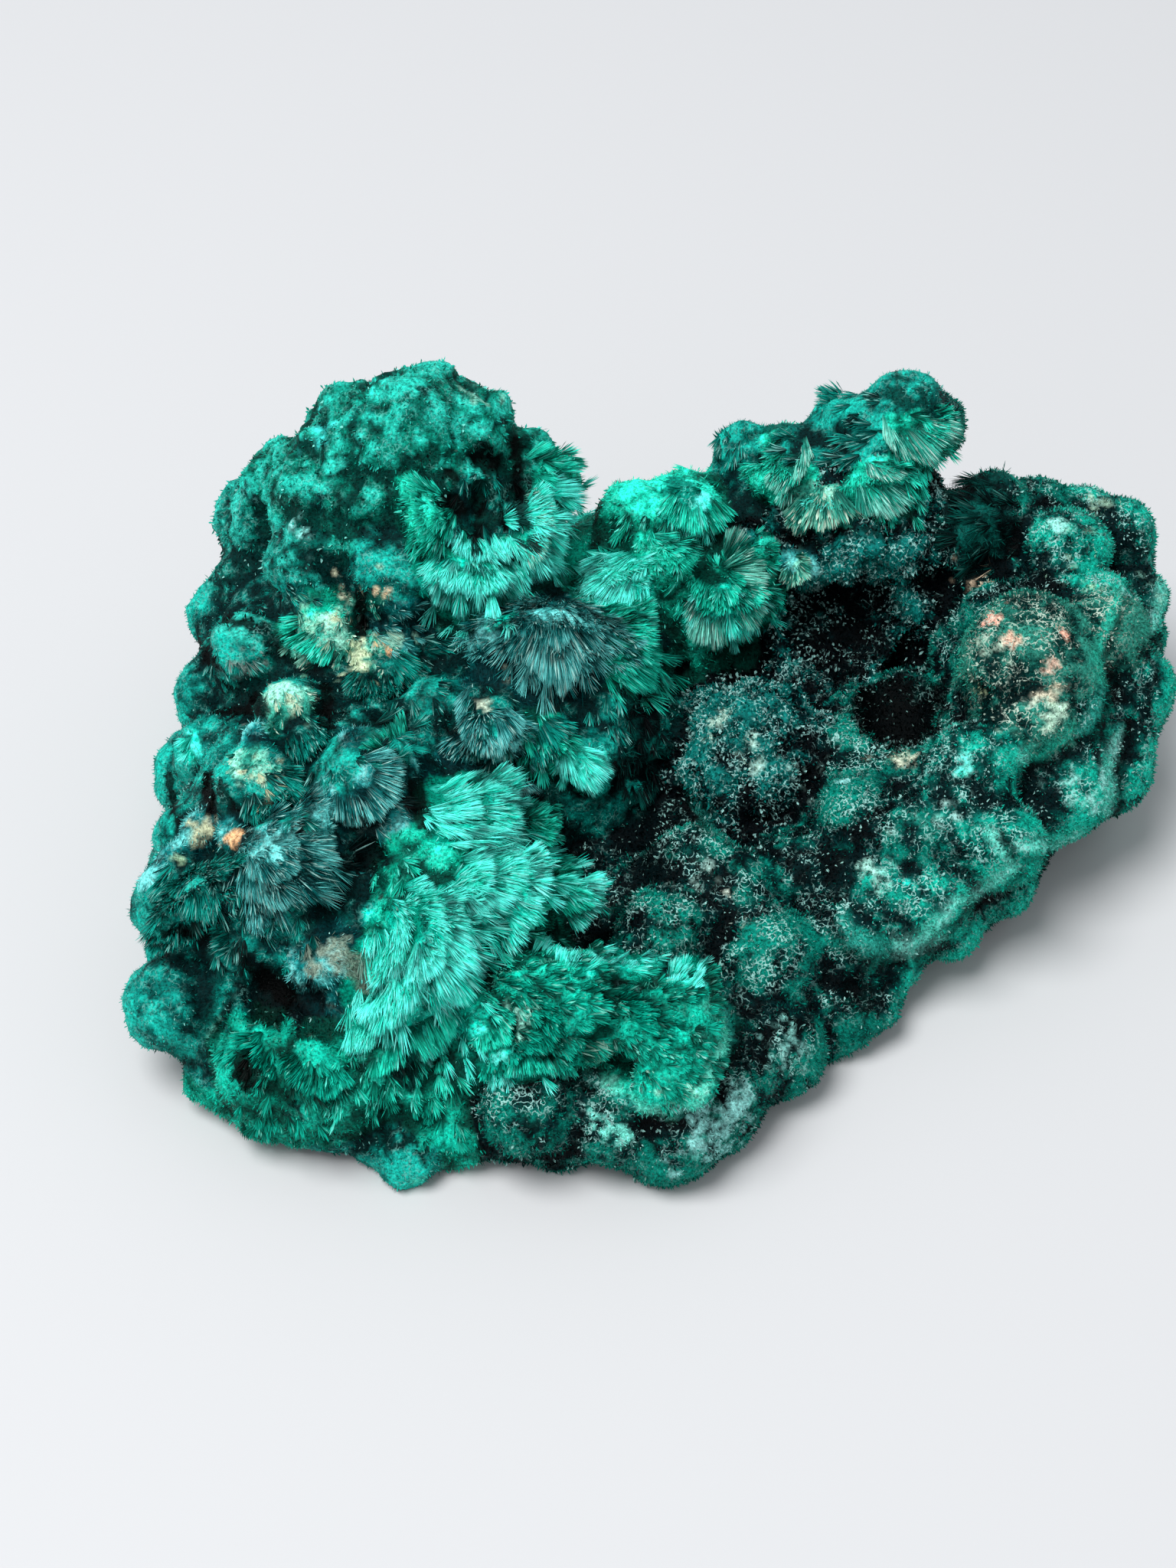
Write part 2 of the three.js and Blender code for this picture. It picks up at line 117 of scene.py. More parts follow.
# Balls of needles: the nucleus, the reach of the needles and the look.
BALLS = [
    # Left flank
    ((-26.9, -14.3, 6), 3.7, "teal"),
    ((-25.2, 6.2, 9), 2.4, "teal"),
    ((-24.3, 11, 10), 2.4, "teal"),
    ((-20.8, 17, 15), 4.2, "banded"),
    ((-25, 2, 8), 2.8, "teal"),
    ((-26, -3.4, 8), 2.8, "teal"),
    ((-27, -8.2, 8), 3.2, "teal"),
    # Left-hand peak
    ((-11.6, 23.2, 26), 4.6, "broken"),
    ((-8.4, 22.7, 24.5), 4.2, "broken"),
    ((-15, 22, 23.5), 4.4, "broken"),
    ((-16.4, 19.2, 21), 5, "broken"),
    ((-10.4, 19.2, 22), 5, "broken"),
    ((-5.4, 20.7, 22), 3.4, "broken"),
    ((-19.4, 19.2, 18), 3.6, "broken"),
    ((-3, 19.4, 19.5), 3, "green"),
    ((-12.6, 13.8), 3.4, "teal"),
    ((-18.2, 14.6), 3.6, "banded"),
    ((-22.4, 13.6), 2.6, "banded"),
    # Knobs with tan tips, and the domes round them
    ((-22.2, 8.4), 3, "banded"),
    ((-17.2, 10.4), 3.4, "green"),
    ((-13.4, 8.7), 3.8, "green"),
    ((-19.3, 4.6), 3, "teal"),
    ((-21.6, -0.1), 3.2, "teal"),
    ((-14.5, 0.2), 3.9, "grey"),
    ((-10, 4.6), 2.8, "teal"),
    ((-6.4, 4.2), 3.6, "grey"),
    ((-21.5, 3.1), 1.5, "grey"),
    ((-22.9, -3.8), 1.9, "grey"),
    ((-24.9, -3.1), 1.8, "grey"),
    ((-26.9, -5.3), 1.8, "grey"),
    ((-28.2, -6.5, 10.5), 1.4, "grey"),
    ((-19.4, -8.6), 3.2, "teal"),
    ((-16.9, -11.9), 3.2, "grey"),
    ((-22.8, -11.4), 2.6, "teal"),
    # Front left foot
    ((-20.9, -18.3, 5), 4, "tongue"),
    ((-17, -19.4, 5), 4, "tongue"),
    ((-13.2, -18), 3.2, "tongue"),
    ((-25.4, -19.6, 2), 1.6, "tongue"),
    ((-23.2, -20.4, 2), 1.9, "tongue"),
    ((-21.2, -21.6, 2), 2, "tongue"),
    ((-19, -22.4, 2), 1.8, "tongue"),
    ((-17, -22.8, 2), 1.8, "teal"),
    ((-14.7, -23.4, 1.5), 1.6, "teal"),
    ((-11.8, -24, 1.5), 2.5, "teal"),
    ((-8.6, -22.8, 2), 2.4, "tongue"),
    # Front crust, under the tongue
    ((-5.2, -22, 2.5), 2.9, "velvet"),
    ((-3.7, -21.1, 5), 3.4, "velvet"),
    ((-1.6, -22.4, 2), 3, "velvet"),
    ((2, -21.5, 4), 3.6, "velvet"),
    ((5.3, -22, 3), 4.2, "velvet"),
    ((8, -20.8, 3), 3.7, "velvet"),
    ((12.8, -17.2, 3), 3.1, "velvet"),
    ((16.2, -14.3, 3), 2.7, "velvet"),
    # Dark velvet domes of the valley
    ((10.9, 1.7), 5.6, "druse"),
    ((7, -5.7), 3.6, "velvet"),
    ((9.6, -7.8), 3.8, "velvet"),
    ((5.1, -10.3), 4, "velvet"),
    ((11.6, -11.8), 4, "velvet"),
    ((14, -6.1), 3.7, "velvet"),
    ((16.6, -10.4), 3.4, "velvet"),
    ((14.6, 7.2), 4.2, "druse"),
    ((13.6, 14.2), 1.4, "grey"),
    # Right-hand domes
    ((19.2, -7.5), 4.1, "dome"),
    ((23.9, -2.8), 4, "dome"),
    ((17.4, -2.4), 3.2, "velvet"),
    ((21, -3.4), 2.8, "velvet"),
    ((22.6, -7.6), 2.9, "dome"),
    ((27, -4), 3.2, "dome"),
    ((25, 0.9), 3.6, "dome"),
    ((28.6, 4.2), 3.6, "crust"),
    ((28.6, 7.9), 5, "crust"),
    ((33.4, 9.6), 3.4, "crust"),
    ((30.8, -0.2, 9), 4, "dome"),
    ((33.8, 1, 8), 3.6, "dome"),
    ((34.8, 6.2, 11), 3.8, "dome"),
    ((31.2, 15.2, 16), 3.4, "dome"),
    ((33.1, 11.2, 15), 3.4, "dome"),
    ((34.6, 16, 14.5), 3.2, "dome"),
    ((35.6, 12, 12.5), 2.6, "dome"),
    ((29.5, 18, 16), 2.6, "velvet"),
    ((26.6, 18.2, 17), 2.8, "velvet"),
    # Ledge under the right-hand side
    ((20.2, -11.4, 3.5), 2.2, "dome"),
    ((23.6, -9.4, 4), 2.5, "dome"),
    ((27, -6.6, 4.5), 2.6, "dome"),
    # Right-hand peak and the ridge to it
    ((20.6, 24, 23.5), 3.3, "teal"),
    ((17.8, 23.2, 22.5), 2.8, "teal"),
    ((22.6, 23.4, 21.5), 2.6, "velvet"),
    ((24.6, 16.2), 3.2, "velvet"),
    ((6.1, 17.6), 3.4, "green"),
    ((3.1, 17.4), 2.9, "green"),
]

# Small domes that only this scene has, given like BALLS.
SMALL_BALLS = [
    # Right-hand side
    ((35.6, 9.4, 11.5), 2.6, "dome"),
    ((34.8, 14.2, 12), 2.6, "dome"),
    ((32.4, 17.6, 15.5), 2.4, "dome"),
    ((35.2, 2.8, 9.5), 2.4, "dome"),
    # Ridge to the right-hand peak
    ((10, 21.4, 19), 2.3, "teal"),
    ((10, 22.9, 20.5), 1.3, "teal"),
    ((13.2, 22, 20.5), 2, "green"),
    ((15.4, 22.7, 21.3), 2, "teal"),
    # Rounded end of the tongue
    ((8, -16, 9.4), 1.5, "tongue"),
    ((7.9, -18, 8.8), 1.5, "tongue"),
    ((6.9, -19.9, 8.2), 1.6, "tongue"),
    ((4.6, -19.8, 8.2), 1.6, "tongue"),
]

# Domes on the back and low on the sides: the nucleus, the reach and the look.
BACK_BALLS = [
    ((-27, 10, 4), 3.6, "teal"),
    ((-26.5, 17, 4), 3.4, "teal"),
    ((-21, 24, 7), 4, "banded"),
    ((-14, 26.5, 11), 4.5, "green"),
    ((-13, 25, 3), 4.4, "teal"),
    ((-6.5, 24.5, 13), 4, "green"),
    ((-5, 22.5, 4), 4.3, "teal"),
    ((2.5, 27.5, 8), 4.2, "teal"),
    ((9, 28.5, 10), 3.8, "teal"),
    ((10, 27, 3), 4, "velvet"),
    ((16, 27.5, 14), 3.8, "velvet"),
    ((20.5, 27.5, 7), 4.3, "velvet"),
    ((27.5, 27, 7), 4, "dome"),
    ((33, 21.5, 5), 3.8, "dome"),
    ((37, 15.5, 6), 3.4, "dome"),
    ((35.5, 9, 4), 3, "dome"),
    ((-27.5, 1.5, 3), 3, "teal"),
    ((-27, -5, 3), 3, "teal"),
]

# Sprays: the nucleus, the middle of the fringe, the half angle in degrees and the look.
SPRAYS = [
    # Round the star-shaped pit of the left-hand peak
    ((-7.6, 16.6), (-8.6, 11.4), 50, "bright"),
    ((-6.2, 17.2), (-1.6, 16.4), 45, "bright"),
    ((-8.4, 18.2), (-12.6, 17), 45, "green"),
    # Middle of the ridge
    ((-2.3, 12.5), (-2.7, 6.6), 42, "grey"),
    ((-0.6, 10.2), (4.6, 8), 45, "green"),
    ((0.4, 14.4), (2.6, 10.6), 50, "bright"),
    ((3.6, 16.4), (5.6, 12.6), 45, "green"),
    ((-6.9, 5), (-5.9, 0.7), 55, "grey"),
    ((-3.4, 4.7), (-2.2, 0.7), 35, "green"),
    ((-1.2, 2.2), (0.8, 0.4), 38, "bright"),
    # Bright crest
    ((-10.2, -1.4), (-3.9, -2.9), 44, "bright"),
    ((-4.2, -2.2), (-2, -4), 42, "green"),
    ((-8.6, -6.2), (-2.2, -8.2), 42, "bright"),
    ((-3.6, -6.1), (1.3, -8.1), 26, "bright"),
    ((-13.2, -8.2), (-6.8, -11.8), 48, "bright"),
    ((-12.9, -10.6), (-10.4, -15.8), 48, "bright"),
    # Tongue that hangs over the front crust
    ((-6.4, -12.6, 12.5), (1.6, -15, 11), 36, "tongue"),
    ((0.2, -14.6, 11), (8.9, -17.3, 9), 38, "tongue"),
    ((-6.4, -15.3, 10), (-3.4, -18.6, 8.5), 50, "tongue"),
    ((5.1, -13.3, 10), (7.1, -11.9, 10.5), 42, "bright"),
    # Left-hand fans under the tan knobs
    ((-23.4, -3.6), (-16.8, -6.2), 42, "grey"),
    ((-26.4, -5.8), (-23.7, -9.5), 46, "teal"),
    # Right-hand peak
    ((8.9, 14), (9.5, 9.5), 62, "green"),
    ((19.9, 24, 23.5), (23.6, 21.2, 22.5), 40, "green"),
    ((18.1, 21.7, 22), (19.1, 18.2, 21), 45, "green"),
    ((13.1, 22, 21), (12.4, 18.4, 20), 45, "green"),
    ((15.6, 19.2, 20.5), (15.6, 16.7, 19.5), 55, "bright"),
    ((19, 24.4, 22.5), (14.4, 24.3, 22), 25, "teal"),
    ((10.4, 19.6, 17), (10.3, 24, 21.5), 30, "teal"),
]

# Hollows: the middle, and the half sizes in x, y and z.
PITS = [
    ((16.6, 10.4), (4.6, 3.5, 4)),
    ((20.2, 5.6), (3.2, 4.5, 4.5)),
    ((-7, 18.6), (0.9, 1.3, 1.6)),
    ((-20.9, -13.8), (2, 2.2, 2.2)),
]


def srgb(r, g, b):
    """A colour given in 0 to 255 as light."""
    c = np.array([r, g, b]) / 255.0
    return np.where(c < 0.04045, c / 12.92, ((c + 0.055) / 1.055) ** 2.4)


def new_look(low, mid, high, rim_sheen, fleck, tone=0, skin=0, **numbers):
    """A look from its colours, given in 0 to 255, and its numbers."""
    colours = dict(low=low, mid=mid, high=high, rim_sheen=rim_sheen, fleck=fleck)
    light = {key: srgb(*colour) for key, colour in colours.items()}
    return dict(**light, tone=tone, skin=skin, **numbers)


# Numbers that several looks share, of coarse needles and of plush ones.
COARSE = dict(length=(0.3, 0.6), width=(0.04, 0.09), stand=0.15, comb=0.8, splay=0.6, contrast=1.5)
PLUSH = dict(length=(0.25, 0.55), width=(0.035, 0.07), stand=0.3, comb=0.3, splay=1.0, contrast=1.4)

# What each look is made of. Its colours run from the first through the second to the third. The
# fourth is painted sheen for rims, laid on where needles turn edge-on to the eye and where rims are
# lit; the fifth is for flecks, and flecks says how common they are. Lengths and half widths of the
# needles that stand on the body are in millimetres. stand, comb and splay say how far they follow
# the surface's normal, the way out from the growth's crown, and chance. crowd is how closely they
# stand, contrast is how strong light and dark are, relief is the height of the body's fine relief
# in millimetres, and swell is how uneven the growth is, as a share of its reach. tone and skin are
# how much lighter its tufts and the body's own surface are.
LOOKS = {
    "bright": new_look(
        (0, 118, 98), (12, 224, 196), (100, 255, 238), (60, 226, 200), (136, 255, 242), flecks=0.15,
        length=(0.3, 0.7), width=(0.02, 0.036), stand=0.4, comb=1.2, splay=0.4,
        crowd=0.8, contrast=1.1, relief=0.2, swell=0.08, tone=0.6, skin=-0.8,
    ),
    "green": new_look(
        (0, 54, 44), (0, 148, 120), (40, 226, 196), (10, 160, 134), (96, 236, 214), flecks=0.12,
        length=(0.25, 0.6), width=(0.025, 0.05), stand=0.4, comb=1.0, splay=0.6,
        crowd=1.0, contrast=1.2, relief=0.25, swell=0.1, tone=0.25, skin=-0.4,
    ),
    "tongue": new_look(
        (0, 50, 40), (0, 118, 97), (12, 176, 150), (120, 228, 206), (110, 216, 194), flecks=0.05,
        length=(0.25, 0.6), width=(0.03, 0.06), stand=0.5, comb=0.8, splay=0.8,
        crowd=1.2, contrast=1.3, relief=0.3, swell=0.08, tone=0.1, skin=-0.3,
    ),
    "grey": new_look(
        (0, 34, 36), (8, 114, 112), (108, 208, 204), (10, 104, 94), (160, 218, 210), flecks=0.14,
        length=(0.3, 0.7), width=(0.02, 0.035), stand=0.3, comb=1.3, splay=0.4,
        crowd=1.0, contrast=1.2, relief=0.25, swell=0.1, tone=-0.1, skin=-0.5,
    ),
    "teal": new_look(
        (0, 26, 26), (0, 92, 84), (18, 160, 144), (0, 96, 84), (120, 194, 184), flecks=0.14,
        length=(0.2, 0.5), width=(0.022, 0.045), stand=0.3, comb=1.0, splay=0.6,
        crowd=1.0, contrast=1.3, relief=0.3, swell=0.1, skin=-0.1,
    ),
    "banded": new_look(
        (0, 34, 32), (0, 100, 88), (40, 168, 152), (0, 100, 86), (130, 200, 190), flecks=0.14,
        **COARSE, crowd=0.4, relief=0.4, swell=0.14,
    ),
    "broken": new_look(
        (0, 44, 38), (0, 106, 88), (32, 172, 154), (0, 118, 98), (130, 236, 222), flecks=0.1,
        **COARSE, crowd=0.35, relief=0.6, swell=0.14, skin=-0.2,
    ),
    "velvet": new_look(
        (0, 6, 8), (0, 34, 35), (4, 112, 97), (50, 150, 136), (150, 204, 196), flecks=0.5,
        **PLUSH, crowd=1.4, relief=0.16, swell=0.09,
    ),
    "dome": new_look(
        (0, 18, 20), (0, 68, 62), (14, 160, 138), (120, 206, 192), (150, 206, 198), flecks=0.45,
        **PLUSH, crowd=1.4, relief=0.14, swell=0.09,
    ),
    "crust": new_look(
        (0, 22, 22), (2, 54, 49), (40, 122, 106), (30, 176, 150), (178, 200, 184), flecks=0.5,
        **PLUSH, crowd=1.3, relief=0.3, swell=0.1,
    ),
    "druse": new_look(
        (0, 3, 5), (0, 26, 29), (10, 104, 98), (8, 90, 82), (150, 204, 198), flecks=0.48,
        length=(0.3, 0.6), width=(0.05, 0.1), stand=0.3, comb=0.2, splay=1.0,
        crowd=1.2, contrast=1.5, relief=0.6, swell=0.12,
    ),
    "dark": new_look(
        (0, 3, 4), (0, 24, 24), (4, 80, 72), (4, 80, 72), (60, 120, 112), flecks=0.06,
        length=(0.5, 1.1), width=(0.02, 0.045), stand=0.3, comb=0.4, splay=0.5,
        crowd=0.8, contrast=1.2, relief=0.35, swell=0.1,
    ),
    "mint": new_look(
        (0, 70, 60), (52, 162, 140), (140, 214, 190), (60, 160, 140), (196, 226, 204), flecks=0.2,
        length=(0.3, 0.6), width=(0.03, 0.07), stand=0.3, comb=0.7, splay=0.7,
        crowd=0.8, contrast=1.2, relief=0.3, swell=0.1, tone=-0.2, skin=-0.3,
    ),
    "pale": new_look(
        (10, 96, 82), (40, 170, 148), (140, 232, 214), (150, 226, 210), (190, 240, 226), flecks=0.15,
        length=(0.3, 0.6), width=(0.02, 0.04), stand=0.5, comb=0.5, splay=0.6,
        crowd=0.8, contrast=0.8, relief=0.2, swell=0.1, tone=-0.2,
    ),
}
LOOK_NAMES = list(LOOKS)
# Looks of domes, painted with a sheen: darker at the crown, which faces the eye, and lighter on
# the flanks. They are flecked at the crown.
DOMED = ("dome", "velvet", "crust")


def of_look(key):
    """A number or colour of every look, in the order of LOOK_NAMES."""
    return np.array([LOOKS[name][key] for name in LOOK_NAMES])


# Needles that lie over the body in tufts: the middle and the half sizes of an area of the picture
# plane, the place that the tufts run away from, the look and the length of a tuft.
FIELDS = [
    # Left-hand peak
    ((-7.4, 12.4), (3.4, 2.4), (-6.8, 19.5), "bright", 2),
    ((-1.8, 16.6), (2.6, 3.6), (-6.4, 19), "bright", 2.2),
    ((-1.4, 20), (2.2, 1.8), (-6, 21.6), "green", 1.8),
    ((-5.6, 14.8), (2.2, 1.4), (-6.6, 19), "green", 1.6),
    ((-9.6, 16), (1.6, 2), (-7.2, 19), "green", 1.4),
    ((-6.6, 18.2), (2.4, 2.4), (-6.4, 23), "teal", 1.5),
    # Ridge
    ((-2.5, 8.9), (2.6, 3.6), (-2.4, 13.6), "grey", 2.8),
    ((-0.4, 10), (1.2, 2.2), (-2.4, 13.6), "grey", 2.6),
    ((3, 8), (2.6, 2.2), (-2, 12), "green", 2.2),
    ((1.6, 13.2), (2.4, 2), (4.4, 19), "bright", 2),
    ((4.6, 16.6), (2.6, 2.4), (7, 24), "green", 1.8),
    ((6.6, 17.8), (1.6, 1.6), (6.2, 21.5), "bright", 1.8),
    ((9, 11.2), (3, 2), (8.8, 14.8), "bright", 1.9),
    ((11.2, 13.8), (1.2, 2.6), (8.6, 14.6), "green", 1.5),
    ((8.4, 15.4), (1.8, 1.4), (8.8, 13.6), "green", 1.1),
    ((6.4, 13.6), (1, 2), (9, 14.8), "green", 1.5),
    ((-6.4, 4.6), (2, 2.2), (-6.6, 8.2), "teal", 1.6),
    ((-3, 3), (1.4, 2.2), (-4, 6.6), "green", 1.8),
    ((-5.2, 1.2), (1.8, 1.2), (-5.2, 4.8), "grey", 1.5),
    ((-0.6, 1), (1.3, 1.2), (-1.4, 3.6), "bright", 1.4),
    ((3.2, 3.2), (1.8, 4), (3.2, 12), "dark", 1.6),
    ((1, 4.2), (1.6, 2), (0.4, 9), "teal", 1.4),
    # Crest
    ((-7.6, -1.6), (3.6, 2.6), (-13.2, -0.6), "bright", 2.4),
    ((-3.4, -2.4), (1.6, 1.4), (-8, -0.6), "green", 1.4),
    ((-4.4, -6), (4.4, 2.2), (-12.4, -4.4), "bright", 2.4),
    ((-0.8, -7), (1.8, 1.4), (-7, -4.8), "bright", 1.6),
    ((-10, -10.6), (3.8, 3.4), (-14.2, -6.2), "bright", 2.6),
    ((-13.6, -13.2), (2.2, 4.6), (-14.8, -5.5), "bright", 2.4),
    ((-9.2, -15.2), (3.2, 2.6), (-13, -9), "bright", 2),
    ((-11.6, -18.6), (3.2, 2), (-12.6, -10), "green", 1.8),
    ((-14.6, -19.2), (2.6, 2.6), (-14.6, -10), "green", 1.8),
    ((-12.2, -5.4), (1.8, 1.8), (-13.6, -1.5), "green", 1.6),
    # Tongue
    ((-3.6, -11), (2.6, 1.4), (-9, -9), "green", 1.6),
    ((-2, -15.2), (3.8, 2.8), (-9, -12), "tongue", 1.6),
    ((2, -11.6), (2.8, 1), (-6, -10.4), "bright", 1.5),
    ((3.4, -14), (3, 1.8), (-5, -12), "tongue", 1.5),
    ((4.6, -18), (3.8, 2.4), (-3, -14), "tongue", 1.2),
    ((6.6, -12.4), (1.2, 1.2), (5.2, -14.4), "bright", 1.3),
    ((-4.4, -18.4), (2.4, 1.4), (-6, -13), "bright", 1.4),
    # Front left foot
    ((-21.8, -17.6), (2.2, 2), (-20, -12), "tongue", 1.4),
    ((-18, -18.4), (2.2, 2.4), (-20.5, -13), "tongue", 1.5),
    ((-20.4, -21.4), (3.6, 1.4), (-19.6, -14), "tongue", 1.4),
    ((-9.6, -22), (2.6, 1.6), (-11, -15), "tongue", 1.3),
    # Left flank and its knobs
    ((-25.8, 2.2), (0.6, 1.3), (-24, 5), "bright", 1.4),
    ((-17.6, 9.6), (2.2, 1.8), (-15, 12.8), "mint", 1.3),
    ((-14.8, 11.6), (1.6, 1), (-14.6, 13.4), "mint", 0.9),
    ((-12, 10.4), (2.2, 1.8), (-15.2, 11.2), "grey", 1.3),
    ((-14.2, 8.6), (1.8, 1.2), (-14, 10.8), "mint", 1),
    ((-12.2, 6.4), (2.4, 1.8), (-14.6, 10), "teal", 1.6),
    ((-10.2, 8.2), (1.6, 1.6), (-15, 10), "teal", 1.6),
    ((-19.6, 4.8), (1.6, 1.8), (-20.2, 6.8), "mint", 1.2),
    ((-18.2, 2.4), (1.8, 2), (-20.4, 6.6), "teal", 1.9),
    ((-22, 1.2), (1.6, 1), (-22, 2.6), "mint", 0.9),
    ((-20.4, -1), (2, 2), (-22.4, 1.4), "teal", 1.5),
    ((-15.4, 0.8), (1.4, 1.6), (-16.6, 1.6), "teal", 1),
    ((-13, 2.8), (1.8, 1.6), (-16.4, 0.2), "teal", 1.5),
    ((-13.4, -1), (2, 2.4), (-16.6, 1), "grey", 1.7),
    ((-18.8, -5.6), (2.8, 2.2), (-24.2, -2.6), "grey", 2.8),
    ((-21.4, -6), (1.8, 2.2), (-23.6, -2.6), "grey", 2.2),
    ((-26.2, -7), (2, 2.2), (-26.4, -3.2), "teal", 2),
    ((-24, -5.8), (1.2, 2), (-24.4, -2.6), "teal", 1.8),
    ((-23, -9.6), (1.6, 2.4), (-22.6, -4), "teal", 1.8),
    ((-19.2, -9.2), (1.4, 1.6), (-19.4, -5), "teal", 1.4),
    ((-23.6, 8), (1.8, 1.6), (-24, 10.6), "teal", 1.2),
    ((-20.4, 12), (2.4, 1.2), (-22.5, 13.4), "teal", 1.4),
    # Right-hand peak
    ((21.8, 22.6), (2.5, 2), (17.2, 26.4), "green", 1.9),
    ((13.2, 20), (1.6, 2), (13.6, 25), "green", 1.9),
    ((15.4, 18.2), (2.2, 1.4), (15.6, 22), "mint", 1.7),
    ((19.4, 19.4), (2.4, 2.2), (16.8, 24), "green", 1.9),
    ((16, 22.6), (3.6, 1.6), (24, 23.2), "teal", 1.8),
    ((9.9, 22.2), (1.3, 1.6), (10.1, 27), "teal", 1.6),
    ((17.6, 25.2), (2, 1), (26, 25.4), "teal", 1.6),
    ((25.8, 17), (2.8, 3.2), (44, 17.4), "dark", 2.4),
    ((6, 20), (3.2, 0.9), (12, 21.5), "green", 1.3),
]
# How many tufts there are to a square millimetre, and how many needles to a tuft.
TUFTS = 1.3
TUFT_NEEDLES = 22

